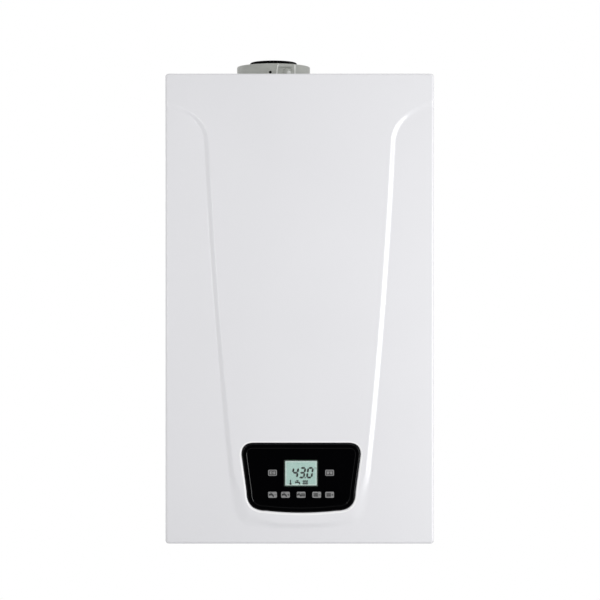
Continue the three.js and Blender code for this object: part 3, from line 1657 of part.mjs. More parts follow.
function pressureGauge() {
  const low = up(gaugeFace);
  const body = turnedZ(gaugeX, gaugeY, [
    [0, low],
    [gaugeRadius - 1, low],
    [gaugeRadius, low + 2],
    [gaugeRadius, floorTop + 12],
    [8, floorTop + 14],
    [8, floorTop + 24],
    [0, floorTop + 24],
  ], 16);
  const dial = rodZ(gaugeX, gaugeY, low - 1, low + dialSink, gaugeRadius - 2.5, 16);
  const lip = turnedZ(gaugeX, gaugeY, [
    [0, floorTop + fit],
    [gaugeRadius + gaugeLip, floorTop + fit],
    [gaugeRadius + gaugeLip, floorTop + 3],
    [0, floorTop + 3],
  ], 16);
  return joined([body, lip]).subtract(dial);
}

function gaugePointer() {
  // Built about its pivot; it hangs just below the dial
  const hub = rodZ(0, 0, 0, hubThick, 2.6, 12);
  const hand = plateZ(polygon([[-1.2, -5], [1.2, -5], [0.5, 13], [-0.5, 13]]), 0.3, 1.3);
  return hub.add(hand);
}

function drainCock() {
  const top = cockTop;
  const body = rodZ(cockX, rowY, up(14), top, 6.5, 12);
  const wing = block(cockX - 2, cockX + 2, rowY - 11, rowY + 11, up(6), up(18));
  return body.add(wing);
}

function buildWaterSide() {
  const water = new THREE.Group();
  boiler.add(water);
  addPiece(water, 'plate_heat_exchanger', plateHeatExchanger(), finish.stainless);
  addPiece(water, 'pump_volute', pumpVolute(), finish.brass);
  addPiece(water, 'pump_motor', pumpMotor(), finish.castAluminium);
  addPiece(water, 'pump_rotor', pumpRotor(), finish.blackPlastic);
  addPiece(water, 'air_vent', airVent(), finish.brass);
  addPiece(water, 'expansion_vessel', expansionVessel(), finish.vesselRed);
  addPiece(water, 'expansion_pipe', expansionPipe(), finish.copper);
  addPiece(water, 'diverter_body', diverterBody(), finish.brass);
  addPiece(water, 'diverter_spindle', diverterSpindle(), finish.stainless);
  addPiece(water, 'diverter_motor', diverterMotor(), finish.blackPlastic);
  addPiece(water, 'relief_knob', reliefKnob(), finish.redPlastic);
  addPiece(water, 'flow_riser', flowRiser(), finish.copper);
  addPiece(water, 'return_riser', returnRiser(), finish.copper);
  addPiece(water, 'hot_water_pipe', tapWaterPipe(hotX), finish.copper);
  addPiece(water, 'cold_water_pipe', tapWaterPipe(coldX), finish.copper);
  addPiece(water, 'condensate_trap', condensateTrap(), finish.greyPlastic);
  addPiece(water, 'condensate_hose', condensateHose(), finish.greyPlastic);
  addPiece(water, 'pressure_gauge', pressureGauge(), finish.whitePlastic);
  const pivot = [gaugeX, gaugeY, up(gaugeFace) + dialSink - fit - hubThick];
  addPiece(water, 'gauge_pointer', gaugePointer(), finish.blackPlastic, pivot);
  addPiece(water, 'drain_cock', drainCock(), finish.brass);
}

buildCasing();
buildControls();
buildFlue();
buildCombustion();
buildWaterSide();

export default boiler;
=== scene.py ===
"""Wall-hung combi boiler: camera, light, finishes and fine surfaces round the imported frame.

+Z is up, the wall is the plane y = 0 and the front faces -Y. Shapes are worked out in
millimetres and turned to metres where a mesh or a node takes them.
"""

import json
import math

import bpy
import numpy as np
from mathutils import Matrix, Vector, geometry


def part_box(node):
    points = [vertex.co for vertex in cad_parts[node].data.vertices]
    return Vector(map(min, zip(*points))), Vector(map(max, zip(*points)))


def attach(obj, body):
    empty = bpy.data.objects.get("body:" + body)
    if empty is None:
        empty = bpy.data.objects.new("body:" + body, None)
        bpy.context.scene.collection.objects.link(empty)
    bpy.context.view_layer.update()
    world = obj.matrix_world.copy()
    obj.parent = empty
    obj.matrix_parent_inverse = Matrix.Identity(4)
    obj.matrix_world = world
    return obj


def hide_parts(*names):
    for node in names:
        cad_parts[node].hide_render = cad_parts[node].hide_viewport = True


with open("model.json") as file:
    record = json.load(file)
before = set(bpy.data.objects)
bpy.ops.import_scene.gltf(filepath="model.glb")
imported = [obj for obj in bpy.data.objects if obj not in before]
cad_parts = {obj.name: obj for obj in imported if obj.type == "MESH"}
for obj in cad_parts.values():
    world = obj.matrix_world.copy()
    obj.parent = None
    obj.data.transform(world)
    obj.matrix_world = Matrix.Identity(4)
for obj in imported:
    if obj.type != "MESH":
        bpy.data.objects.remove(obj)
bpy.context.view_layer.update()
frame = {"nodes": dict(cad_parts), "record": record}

MM = 0.001


def frame_box(node):
    """Lowest and highest corner of a CAD node, in millimetres."""
    low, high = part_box(node)
    return [place / MM for place in low], [place / MM for place in high]


# ---------------------------------------------------------------- places taken from the frame

front_low, front_high = frame_box("casing_front")
HALF_CASE = front_high[0]
CASE_TOP = front_high[2]
CASE_BOTTOM = front_low[2]
FRONT_FACE = front_low[1]
SEAM_FACE = front_high[1]

facia_low, facia_high = frame_box("control_facia")
FACIA_FACE = facia_low[1]
FACIA_BACK = facia_high[1]
WINDOW_MIDDLE = (facia_low[0] + facia_high[0]) / 2
WINDOW_TOP = facia_high[2]
WINDOW_BOTTOM = facia_low[2]
WINDOW_TOP_HALF = (facia_high[0] - facia_low[0]) / 2
display_low, display_high = frame_box("display_window")
module_low, module_high = frame_box("display_module")

collar_low, collar_high = frame_box("flue_collar")
seal_low, seal_high = frame_box("flue_seal")
FLUE_X = (collar_low[0] + collar_high[0]) / 2
COLLAR_RADIUS = (collar_high[0] - collar_low[0]) / 2
SEAL_RADIUS = (seal_high[0] - seal_low[0]) / 2

KEYS = (
    "key_reset", "key_info", "key_water_down", "key_water_up", "key_mode", "key_heating_down",
    "key_heating_up",
)
REMADE = KEYS + (
    "casing_front", "control_facia", "display_window", "display_module", "flue_collar",
    "flue_seal", "test_cap_gas", "test_cap_air",
)

# ---------------------------------------------------------------- sizes of the fine surfaces

SHEET = 1.2
FRONT_EDGE = 4
CORNER = 5

RELIEF_STEP = 3.4  # raised field above the lower one
RELIEF_OUTER = 4.6  # the pressed line reaches this far out from its middle
RELIEF_INNER = 5.2  # and this far in
RELIEF_SPREAD = 13  # more, round the lower corners
RELIEF_SPREAD_REACH = 62  # from a corner, where the spread has gone
RELIEF_FADE = 0.62  # share of the step that is gone where the line meets the casing's sides
RELIEF_FADE_DROP = 120  # the fade starts this far below the line's upper end
RELIEF_FOOT = 26.4
RELIEF_SHOULDER_DROP = 102
RELIEF_FLARE_DROP = 44
RELIEF_SHOULDER_HALF = 139.2
RELIEF_FOOT_HALF = 96
RELIEF_BULGE = 8.8
RELIEF_CORNER_RISE = 38.7

LIP_EDGE = 1.6
RIM_WIDTH = 2.4  # the band round the window whose whiter colour is a painted highlight; it is glossier too
LIP_WALL = 1.4
LIP_DEPTH = 8
WINDOW_GAP = 1.6
WINDOW_SAG = 3
WINDOW_FOOT_HALF = 80
WINDOW_UPPER_RADIUS = 17
WINDOW_LOWER_RADIUS = 27
FACIA_EDGE = 1.5
FIELD_INSET = 6.5  # the facia's recessed field, in from its outline
FIELD_STEP = 0.35
FIELD_BEVEL = 0.9
LENS_HOLE_CORNER = 1.5
LENS_CORNER = 1.2
LENS_EDGE = 0.25
HOLE_EDGE = 0.3

KEY_GAP = 0.3
KEY_CORNER = 1.7
KEY_WIDTH = 13
KEY_HEIGHT = 9
KEY_EDGE = 0.8
KEY_STEM = 9  # behind the cap, out of sight and not made again


def up(height):
    """A height above the casing's lower edge."""
    return CASE_BOTTOM + height


# ---------------------------------------------------------------- camera

CAMERA_AWAY = 3000  # from the front panel
PHOTO_WIDTH = 892.2  # what the photograph spans at the front panel
PHOTO_MIDDLE_X = 0.45
PHOTO_MIDDLE_Z = -282
SENSOR = 36
SEEN_UP_TO = 50  # metres


def linked(name, data):
    """A new object in the scene."""
    made = bpy.data.objects.new(name, data)
    bpy.context.scene.collection.objects.link(made)
    return made


def set_camera():
    made = linked("camera", bpy.data.cameras.new("camera"))
    made.data.sensor_width = SENSOR
    made.data.lens = SENSOR * CAMERA_AWAY / PHOTO_WIDTH
    made.location = [PHOTO_MIDDLE_X * MM, (FRONT_FACE - CAMERA_AWAY) * MM, PHOTO_MIDDLE_Z * MM]
    made.rotation_euler = [math.pi / 2, 0, 0]
    made.data.clip_end = SEEN_UP_TO
    bpy.context.scene.camera = made
    bpy.context.scene.view_settings.view_transform = "Standard"


# ---------------------------------------------------------------- nodes, colours and pieces

def linear(colour):
    """An sRGB hex value as the linear colour that a socket takes."""
    shares = [int(colour[i:i + 2], 16) / 255 for i in (1, 3, 5)]
    return [c / 12.92 if c <= 0.04045 else ((c + 0.055) / 1.055) ** 2.4 for c in shares] + [1]


def add(tree, kind, inputs=None, **settings):
    """Adds a node with its settings; an input is a value, a node's first output or a socket."""
    made = tree.nodes.new(kind)
    for name, value in settings.items():
        setattr(made, name, value)
    for name, value in (inputs or {}).items():
        if isinstance(value, bpy.types.Node):
            value = value.outputs[0]
        if isinstance(value, bpy.types.NodeSocket):
            tree.links.new(value, made.inputs[name])
        else:
            made.inputs[name].default_value = value
    return made


def plain_piece(name, points, faces, materials, paints=None, rounded=False):
    """An object from points in millimetres; paints is the number of each face's material."""
    mesh = bpy.data.meshes.new(name)
    mesh.from_pydata([[c * MM for c in p] for p in points], [], faces)
    for look in materials:
        mesh.materials.append(look)
    if paints:
        mesh.polygons.foreach_set("material_index", paints)
    mesh.polygons.foreach_set("use_smooth", [rounded] * len(faces))
    mesh.update()
    return linked(name, mesh)


# ---------------------------------------------------------------- light

FLOOR_DROP = 1000  # below the casing
FLOOR_HALF = 3000
AMBIENT = 0.435
GLOSS_DARK = 0.02  # what gloss sees straight ahead of the panel: the dark end of the studio
DARK_END = -0.98  # of a direction's share along Y, up to which the studio is at its darkest
WHITE_FROM = -0.55

PANEL_MIDDLE = (0, FRONT_FACE * MM, PHOTO_MIDDLE_Z * MM)
# Place, aim, width and height in metres, and watts
LAMPS = {
    "softbox_right": ((1.05, -1.25, -0.4), PANEL_MIDDLE, 0.45, 0.9, 10),
    "softbox_above_left": ((-0.95, -1.55, 0.36), (-0.1, -0.3, -0.12), 0.2, 0.2, 1.6),
    "fill_left": ((-1.6, -0.75, -0.3), (-0.15, -0.3, -0.3), 0.5, 1.0, 2.2),
    "strip_left": ((-0.6, -1.38, -0.25), PANEL_MIDDLE, 0.09, 0.4, 1.6),
    "softbox_above_right": ((0.7, -0.95, 1.1), (0.05, -0.2, 0), 0.6, 0.4, 3.4),
}


def set_world():
    """White for the camera, white with a dark end for gloss, and a plain level for the rest."""
    world = bpy.data.worlds.new("studio")
    bpy.context.scene.world = world
    world.use_nodes = True
    tree = world.node_tree
    tree.nodes.clear()
    path = add(tree, "ShaderNodeLightPath")
    direction = add(tree, "ShaderNodeTexCoord")
    parts = add(tree, "ShaderNodeSeparateXYZ", {0: direction.outputs["Generated"]})
    ahead = add(tree, "ShaderNodeMapRange", {
        "Value": parts.outputs["Y"], "From Min": DARK_END, "From Max": WHITE_FROM,
        "To Min": GLOSS_DARK, "To Max": 1.0,
    }, interpolation_type="SMOOTHSTEP")
    mirrored = add(tree, "ShaderNodeMath", {
        0: path.outputs["Is Glossy Ray"], 1: path.outputs["Is Transmission Ray"],
    }, operation="MAXIMUM")
    soft = add(tree, "ShaderNodeMix", {
        "Factor": mirrored, "A": AMBIENT, "B": ahead.outputs["Result"],
    }, data_type="FLOAT")
    seen = add(tree, "ShaderNodeMix", {
        "Factor": path.outputs["Is Camera Ray"], "A": soft.outputs[0], "B": 1.0,
    }, data_type="FLOAT")
    white = add(tree, "ShaderNodeBackground", {
        "Color": linear("#ffffff"), "Strength": seen.outputs[0],
    })
    add(tree, "ShaderNodeOutputWorld", {"Surface": white})


def set_lamps():
    for name, (place, aim, width, height, watts) in LAMPS.items():
        made = linked(name, bpy.data.lights.new(name, "AREA"))
        made.data.shape = "RECTANGLE"
        made.data.size = width
        made.data.size_y = height
        made.data.energy = watts
        made.location = place
        towards = Vector(aim) - Vector(place)
        made.rotation_euler = towards.to_track_quat("-Z", "Y").to_euler()


def set_floor():
    """A plain pale floor under the hanging boiler, which keeps its shadow."""
    corners = ((-1, -1), (1, -1), (1, 1), (-1, 1))
    points = [(x * FLOOR_HALF, y * FLOOR_HALF, CASE_BOTTOM - FLOOR_DROP) for x, y in corners]
    pale = finish("painted_floor", "#f1f1f2", 0.9)
    plain_piece("floor", points, [(0, 1, 2, 3)], [pale])


# ---------------------------------------------------------------- materials

NARROW = (0.35, 0.65)  # the part of a noise where most of its values lie
WIDE = (0.2, 0.8)
WHOLE = (0, 1)


def texture(tree, kind, size, stretch=(1, 1, 1), **inputs):
    """A pattern with features of a size in millimetres, drawn out along an axis if need be."""
    where = add(tree, "ShaderNodeTexCoord")
    drawn = add(tree, "ShaderNodeMapping", {
        "Vector": where.outputs["Object"], "Scale": [1 / (size * MM * s) for s in stretch],
    })
    return add(tree, kind, {"Vector": drawn, "Scale": 1, **inputs})


def noise(size, detail=2, stretch=(1, 1, 1)):
    """Recipe of soft spots."""
    return lambda tree: texture(tree, "ShaderNodeTexNoise", size, stretch, Detail=detail)


def cells(size):
    """Recipe of rounded cells, each lowest in its middle."""
    return lambda tree: texture(tree, "ShaderNodeTexVoronoi", size).outputs["Distance"]


def patches(size, channel):
    """Recipe of angular patches, each with one level of its own."""
    def build(tree):
        found = texture(tree, "ShaderNodeTexVoronoi", size)
        return add(tree, "ShaderNodeSeparateColor", {0: found.outputs["Color"]}).outputs[channel]
    return build


def ranged(tree, recipe, low=0, high=1, span=NARROW):
    """A span of a pattern's values brought to run from low to high."""
    return add(tree, "ShaderNodeMapRange", {
        "Value": recipe(tree), "From Min": span[0], "From Max": span[1], "To Min": low, "To Max": high,
    })


def finish(name, colour, roughness, metallic=0, tint=None, gloss=None, relief=None, **sockets):
    """A material: plain values on its shader, and the patterns that vary them.

    tint is a recipe and two hex values, gloss a recipe and two roughnesses, either with a span
    behind them if it isn't NARROW; relief is a recipe and its depth in millimetres.
    """
    made = bpy.data.materials.new(name)
    made.use_nodes = True
    tree = made.node_tree
    shader = tree.nodes["Principled BSDF"]
    sockets.update(Base_Color=linear(colour), Roughness=roughness, Metallic=metallic)
    for socket, value in sockets.items():
        shader.inputs[socket.replace("_", " ")].default_value = value
    if tint:
        recipe, low, high, *span = tint
        # A colour mix has its own sockets, 6 and 7, behind those for numbers and vectors
        mix = add(tree, "ShaderNodeMix", {
            "Factor": ranged(tree, recipe, 0, 1, *span), 6: linear(low), 7: linear(high),
        }, data_type="RGBA")
        tree.links.new(mix.outputs[2], shader.inputs["Base Color"])
    if gloss:
        tree.links.new(ranged(tree, *gloss).outputs[0], shader.inputs["Roughness"])
    if relief:
        recipe, depth = relief
        bump = add(tree, "ShaderNodeBump", {
            "Height": recipe(tree), "Strength": 1.0, "Distance": depth * MM,
        })
        tree.links.new(bump.outputs[0], shader.inputs["Normal"])
    return made


# Finishes by the record's material slot
LOOKS = {
    # Polyester powder, sprayed on steel and cured: an even white with a faint orange peel
    "case_paint": finish(
        "powder_coated_steel", "#ececef", 0.21, IOR=1.5,
        tint=(noise(130, 1), "#ebebee", "#ededf0", WIDE),
        gloss=(noise(60, 1), 0.2, 0.22, WIDE),
        relief=(noise(2.4, 1), 0.003),
    ),
    # Hot-dip galvanised sheet: crystals a few millimetres across, each reflecting its own way
    "zinc_steel": finish(
        "galvanised_steel", "#b4b8ba", 0.4, 1,
        tint=(patches(7, 0), "#a4a8ab", "#c3c6c8", WHOLE),
        gloss=(patches(7, 1), 0.3, 0.5, WHOLE),
        relief=(noise(0.7, 2, (1, 1, 8)), 0.004),
    ),
    # Closed-cell polyethylene foam: charcoal, matt, with small burst cells, each darker towards its
    # middle where its hollow is deepest: painted shade
    "foam": finish(
        "closed_cell_foam", "#3a3b3d", 0.95, IOR=1.5,
        tint=(cells(1.4), "#2c2d2f", "#45464a", (0.1, 0.7)),
        relief=(cells(1.4), 0.25),
    ),
    # Polycarbonate film printed black from behind, hard-coated: deep black with a clear gloss
    "facia_gloss": finish(
        "back_printed_film", "#020203", 0.09, IOR=1.5, Specular_IOR_Level=0.22,
        gloss=(noise(22), 0.07, 0.12),
        relief=(noise(14, 1), 0.004),
    ),
    # Cast acrylic window: clear, with only its own gloss to be seen
    "lens": finish(
        "cast_acrylic", "#c4ccc8", 0.04, IOR=1.49, Alpha=0.045,
        gloss=(noise(9), 0.03, 0.07),
    ),
    # Reflective liquid crystal cell: a green-grey polariser over a brushed foil reflector
    "lcd": finish(
        "reflective_lcd", "#b0d1c8", 0.42, IOR=1.45,
        tint=(noise(16, 3), "#aecfc6", "#b6d5cc"),
        gloss=(noise(0.6, 2, (6, 1, 1)), 0.38, 0.5),
        relief=(noise(0.5, 2, (6, 1, 1)), 0.002),
    ),
    # Injection-moulded ABS from a spark-eroded tool: black with an even dull grain
    "black_plastic": finish(
        "moulded_abs", "#1d1e20", 0.55, IOR=1.54,
        tint=(noise(30, 3), "#1a1b1d", "#222326"),
        gloss=(noise(0.9, 3), 0.48, 0.62),
        relief=(noise(0.9, 3), 0.03),
    ),
    # Glass-epoxy board under green solder mask: darker where no copper lies beneath
    "board": finish(
        "solder_mask", "#1d6b3c", 0.32, IOR=1.55,
        tint=(cells(3.2), "#15552e", "#2a7d49", (0.2, 0.6)),
        relief=(cells(3.2), 0.03),
    ),
    # Silicone key mat, compression moulded and lacquered: a dry mid grey with a fine tooth
    "key_grey": finish(
        "moulded_silicone", "#8a8a8a", 0.55, IOR=1.43,
        tint=(noise(2.5, 3), "#868686", "#8f8f8f"),
        gloss=(noise(1.1), 0.5, 0.62),
        relief=(noise(0.35, 2), 0.006),
    ),
    # Injection-moulded polypropylene: a slightly green grey, waxy, with faint flow lines
    "grey_plastic": finish(
        "moulded_polypropylene", "#bdbfb9", 0.42, IOR=1.49,
        tint=(noise(14, 3, (3, 3, 1)), "#b4b6b0", "#c4c6c0"),
        gloss=(noise(5), 0.36, 0.5),
        relief=(noise(3, 2, (3, 3, 1)), 0.02),
    ),
    # EPDM lip seal, compression moulded: deep black, dry, with a talc bloom in the hollows
    "black_rubber": finish(
        "moulded_epdm", "#060606", 0.75, IOR=1.52, Specular_IOR_Level=0.04,
        tint=(noise(6, 3), "#040404", "#0b0b0b"),
        relief=(noise(1.0, 2), 0.02),
    ),
    # Stainless sheet, brushed: grey with fine parallel lines
    "stainless": finish(
        "brushed_stainless", "#bcbec0", 0.3, 1,
        tint=(noise(0.5, 3, (1, 1, 30)), "#b0b3b5", "#c6c8ca"),
        gloss=(noise(0.5, 3, (1, 1, 30)), 0.24, 0.38),
        relief=(noise(0.5, 3, (1, 1, 30)), 0.006),
    ),
    # Aluminium, pressure die cast and shot blasted: light grey, granular, with cloudy flow marks
    "cast_aluminium": finish(
        "cast_aluminium", "#a9abad", 0.5, 1,
        tint=(noise(25, 4), "#9b9da0", "#b3b5b7"),
        gloss=(noise(0.8, 3), 0.42, 0.6),
        relief=(noise(0.8, 3), 0.05),
    ),
    # Cast iron and steel dipped in black primer: a soft satin over the casting's grain
    "pump_housing": finish(
        "dip_coated_casting", "#2c3136", 0.42, IOR=1.5,
        tint=(noise(18, 3), "#272b30", "#343a40"),
        relief=(noise(1.5, 3), 0.06),
    ),
    # Drawn copper tube: salmon bright with browner clouds where it was handled and brazed
    "copper": finish(
        "drawn_copper", "#c58362", 0.3, 1,
        tint=(noise(60, 2), "#b8765a", "#cc8c6a", (0.25, 0.75)),
        gloss=(noise(20, 2), 0.24, 0.36),
        relief=(noise(1.5, 1, (1, 1, 20)), 0.0015),
    ),
    # Brass, hot forged and blasted: dull yellow with a fine even grain
    "brass": finish(
        "forged_brass", "#c2a766", 0.42, 1,
        tint=(noise(15, 3), "#b39857", "#cbb275"),
        gloss=(noise(0.7, 2), 0.34, 0.5),
        relief=(noise(0.7, 2), 0.03),
    ),
    # Baked red enamel over drawn steel: even gloss with a slight peel
    "vessel_paint": finish(
        "baked_enamel", "#a52a20", 0.3, IOR=1.52, Coat_Weight=0.2,
        tint=(noise(40, 3), "#9d261d", "#ac3026"),
        relief=(noise(2.2, 1), 0.012),
    ),
    # Glossy red polyamide: saturated, with soft moulding marks
    "red_plastic": finish(
        "moulded_polyamide", "#bb2a20", 0.32, IOR=1.53,
        tint=(noise(8), "#b3261c", "#c43127"),
        relief=(noise(1.2, 2), 0.01),
    ),
    # Printed dial card behind the gauge's rim: plain warm white
    "gauge_white": finish(
        "dial_card", "#e4e4df", 0.5, IOR=1.5, tint=(noise(7), "#e0e0db", "#e8e8e4"),
    ),
    # Alumina, fired and glazed: ivory white under a wet gloss
    "ceramic": finish(
        "glazed_alumina", "#e8e2d2", 0.15, IOR=1.6, Coat_Weight=0.3,
        tint=(noise(5, 3), "#e2dbc9", "#ede8da"),
        relief=(noise(1.6, 2), 0.01),
    ),
}
# The same powder on the window's turned-in edge and a band round it: glossier, and painted whiter as a
# highlight where the edge catches the light
PAINTED_HIGHLIGHT_COAT = finish(
    "painted_highlight_edge", "#fdfdfe", 0.16, IOR=1.5,
    tint=(noise(12), "#fbfbfc", "#ffffff"),
    relief=(noise(1.2, 1), 0.002),
)
# The cell's cut border, where the reflector shows paler through the glue line
LCD_BORDER = finish(
    "lcd_border", "#c9e0d8", 0.4, IOR=1.45, tint=(noise(3), "#c4dcd4", "#cfe5dd"),
)
# Switched segments of the cell: a deep green-black with soft edges to its tone
SEGMENT = finish(
    "lcd_segment", "#060c0b", 0.5, IOR=1.45, tint=(noise(1.5), "#040908", "#0a1210"),
)
# A segment that is only half switched shows as a grey-green ghost
GHOST = finish(
    "lcd_ghost_segment", "#7b948d", 0.5, IOR=1.45, tint=(noise(1.5), "#728b84", "#869f97"),
)
# The collar's plastic on its ribs and on the gas cap's face: shinier, and painted paler as a highlight
RIB_HIGHLIGHT = finish(
    "painted_highlight_polypropylene", "#e4e6e1", 0.2, IOR=1.49,
    tint=(noise(9, 2), "#dcded9", "#ecede9"),
    relief=(noise(1.6, 1), 0.004),
)
# Pad-printed ink on the keys: near black, thin and slightly uneven
INK = finish(
    "pad_printed_ink", "#08080a", 0.6, IOR=1.5, tint=(noise(0.8), "#060607", "#0e0e10"),
)


# ---------------------------------------------------------------- edges of pieces

SMOOTH_LIMIT = math.radians(50)  # across a round form's facets, but not over a hexagon's corner
WELD = 1e-5  # metres: facets' corners closer than this are one
LARGE_FACES = 100  # how much the larger faces count: the most there is


def new_group(name):
    """A geometry group with a way in and a way out; returns it and its input."""
    group = bpy.data.node_groups.new(name, "GeometryNodeTree")
    for way in ("INPUT", "OUTPUT"):
        group.interface.new_socket("Geometry", in_out=way, socket_type="NodeSocketGeometry")
    return group, add(group, "NodeGroupInput")


def cleaned_group():
    """Joins the facets of an imported solid and drops its stored normals."""
    group, start = new_group("joined_facets")
    bare = add(group, "GeometryNodeRemoveAttribute", {"Geometry": start, "Name": "custom_normal"})
    merged = add(group, "GeometryNodeMergeByDistance", {"Geometry": bare, "Distance": WELD})
    add(group, "NodeGroupOutput", {0: merged})
    return group


def smoothed_group():
    """Shades smoothly across edges that turn by less than the limit."""
    group, start = new_group("smooth_by_angle")
    angle = add(group, "GeometryNodeInputMeshEdgeAngle")
    sharp = add(group, "FunctionNodeCompare", {
        0: angle.outputs["Unsigned Angle"], 1: SMOOTH_LIMIT,
    }, data_type="FLOAT", operation="GREATER_THAN")
    faces = add(group, "GeometryNodeSetShadeSmooth", {
        "Geometry": start, "Shade Smooth": True,
    }, domain="FACE")
    edges = add(group, "GeometryNodeSetShadeSmooth", {
        "Geometry": faces, "Selection": sharp, "Shade Smooth": False,
    }, domain="EDGE")
    add(group, "NodeGroupOutput", {0: edges})
    return group


JOINED_FACETS = cleaned_group()
SMOOTH_BY_ANGLE = smoothed_group()


def smooth(piece):
    piece.modifiers.new("smooth", "NODES").node_group = SMOOTH_BY_ANGLE


def soften(piece, width, imported=False):
    """Breaks a piece's sharp edges by a width in millimetres and shades its round forms smooth."""
    if imported:
        piece.modifiers.new("joined", "NODES").node_group = JOINED_FACETS
    bevel = piece.modifiers.new("broken_edges", "BEVEL")
    bevel.width = width * MM
    bevel.segments = 2
    bevel.limit_method = "ANGLE"
    bevel.angle_limit = SMOOTH_LIMIT
    bevel.use_clamp_overlap = True
    smooth(piece)
    # Normals follow the larger faces, so a flat sheet stays flat up to its rounded edge
    flat = piece.modifiers.new("flat_faces", "WEIGHTED_NORMAL")
    flat.keep_sharp = True
    flat.weight = LARGE_FACES


# ---------------------------------------------------------------- outlines in the plane of the front

RELIEF_STEPS = 40  # of a curve in the pressed line
TINY = 1e-12  # keeps a division by a length of nothing harmless
BEYOND = 15  # the field's outline runs on past the casing's sides and top
NEARLY = 1e-6  # places as close as this are level with each other


def quadratic(start, control, end, steps):
    """Points along a quadratic curve, its start left out."""
    made = []
    for i in range(1, steps + 1):
        t = i / steps
        made.append(tuple(
            (1 - t) ** 2 * a + 2 * t * (1 - t) * b + t * t * c
            for a, b, c in zip(start, control, end)
        ))
    return made


def trace(start, *moves, steps=24):
    """A closed outline: a move is a point, or a control point and a point for a curve."""
    points = [start]
    for move in moves:
        if len(move) == 2:
            points.append(move)
        else:
            points += quadratic(points[-1], move[:2], move[2:], steps)
    if math.dist(points[0], points[-1]) < NEARLY:
        points.pop()
    return points


def rounded_box(a0, a1, b0, b1, radius, steps=6):
    """A rectangle with round corners, anticlockwise."""
    points = []
    corners = ((a1 - radius, b0 + radius, -90), (a1 - radius, b1 - radius, 0),
               (a0 + radius, b1 - radius, 90), (a0 + radius, b0 + radius, 180))
    for a, b, start in corners:
        for i in range(steps + 1):
            angle = math.radians(start + 90 * i / steps)
            points.append((a + radius * math.cos(angle), b + radius * math.sin(angle)))
    return points


def relief_outline():
    """The pressed line: up both sides of the controls and out to the casing's sides."""
    flare = CASE_TOP - RELIEF_FLARE_DROP
    beyond = HALF_CASE + BEYOND
    above = CASE_TOP + BEYOND
    # The right half's points, and the points that its curves bend towards
    foot_end = (RELIEF_FOOT_HALF - 22, up(RELIEF_FOOT) + 4)
    turn = (RELIEF_FOOT_HALF - 2, up(RELIEF_FOOT) + 6)
    corner = (RELIEF_FOOT_HALF + 1.6, up(RELIEF_FOOT) + RELIEF_CORNER_RISE)
    shoulder = (RELIEF_SHOULDER_HALF, CASE_TOP - RELIEF_SHOULDER_DROP)
    middle_x = (RELIEF_FOOT_HALF + RELIEF_SHOULDER_HALF) / 2
    bulge = (middle_x + RELIEF_BULGE, (corner[1] + shoulder[1]) / 2)
    swing = (RELIEF_SHOULDER_HALF + 1.8, flare - 18)

    def left(point):
        return -point[0], point[1]

    return trace(
        left(foot_end),
        (0, up(RELIEF_FOOT) - 3, *foot_end),
        (*turn, *corner),
        (*bulge, *shoulder),
        (*swing, HALF_CASE, flare),
        (beyond, flare + 1),
        (beyond, above),
        (-beyond, above),
        (-beyond, flare + 1),
        (-HALF_CASE, flare),
        (*left(swing), *left(shoulder)),
        (*left(bulge), *left(corner)),
        (*left(turn), *left(foot_end)),
        steps=RELIEF_STEPS,
    )


def window_outline(grow):
    """The facia's outline, grown outwards by a margin."""
    top = WINDOW_TOP + grow
    bottom = WINDOW_BOTTOM - grow
    shoulder = WINDOW_TOP_HALF + grow
    foot = WINDOW_FOOT_HALF + grow
    upper = WINDOW_UPPER_RADIUS + grow
    lower = WINDOW_LOWER_RADIUS + grow
    low = bottom + WINDOW_SAG
    x = WINDOW_MIDDLE
    return trace(
        (x - shoulder + upper, top),
        (x - shoulder, top, x - shoulder, top - upper),
        (x - foot, low + lower),
        (x - foot, low, x - foot + lower, low),
        (x, bottom - WINDOW_SAG, x + foot - lower, low),
        (x + foot, low, x + foot, low + lower),
        (x + shoulder, top - upper),
        (x + shoulder, top, x + shoulder - upper, top),
    )


def spaced(outline, step):
    """A closed outline's points with no two further apart than a step."""
    made = []
    for (ax, az), (bx, bz) in zip(outline, outline[1:] + outline[:1]):
        pieces = max(1, math.ceil(math.hypot(bx - ax, bz - az) / step))
        made += [(ax + (bx - ax) * i / pieces, az + (bz - az) * i / pieces) for i in range(pieces)]
    return made


AT_ONCE = 2000  # places measured together, which bounds the memory


class Field:
    """Distances from a closed outline, positive inside it."""

    def __init__(self, outline):
        self.start = np.array(outline, float)
        self.along = np.roll(self.start, -1, axis=0) - self.start
        self.length = np.maximum((self.along ** 2).sum(1), TINY)

    def distance(self, places):
        places = np.asarray(places, float)
        parts = np.array_split(places, len(places) // AT_ONCE + 1)
        return np.concatenate([self._some(part) for part in parts])

    def _some(self, places):
        away = places[:, None, :] - self.start[None]
        share = np.clip((away * self.along).sum(2) / self.length, 0, 1)
        nearest = np.sqrt(((away - share[..., None] * self.along) ** 2).sum(2).min(1))
        end = self.start + self.along
        height = places[:, None, 1]
        crosses = (self.start[None, :, 1] > height) != (end[None, :, 1] > height)
        rise = np.where(self.along[:, 1] == 0, TINY, self.along[:, 1])
        run = (height - self.start[None, :, 1]) * self.along[:, 0] / rise
        reach = self.start[None, :, 0] + run
        inside = (crosses & (places[:, None, 0] < reach)).sum(1) % 2 == 1
        return np.where(inside, nearest, -nearest)


def moved_in(outline, distance):
    """A smooth closed outline moved inwards along its own normals."""
    points = np.array(outline, float)
    along = np.roll(points, -1, axis=0) - np.roll(points, 1, axis=0)
    along /= np.maximum(np.linalg.norm(along, axis=1), TINY)[:, None]
    across = np.stack([-along[:, 1], along[:, 0]], 1)
    following = np.roll(points, -1, axis=0)
    area = (points[:, 0] * following[:, 1] - following[:, 0] * points[:, 1]).sum()
    return points + across * distance * (1 if area > 0 else -1)


def rounding(distance, radius):
    """How far a rounded edge lies behind its face at a distance from the border."""
    left = radius - np.clip(distance, 0, radius)
    return radius - np.sqrt(np.maximum(radius ** 2 - left ** 2, 0))


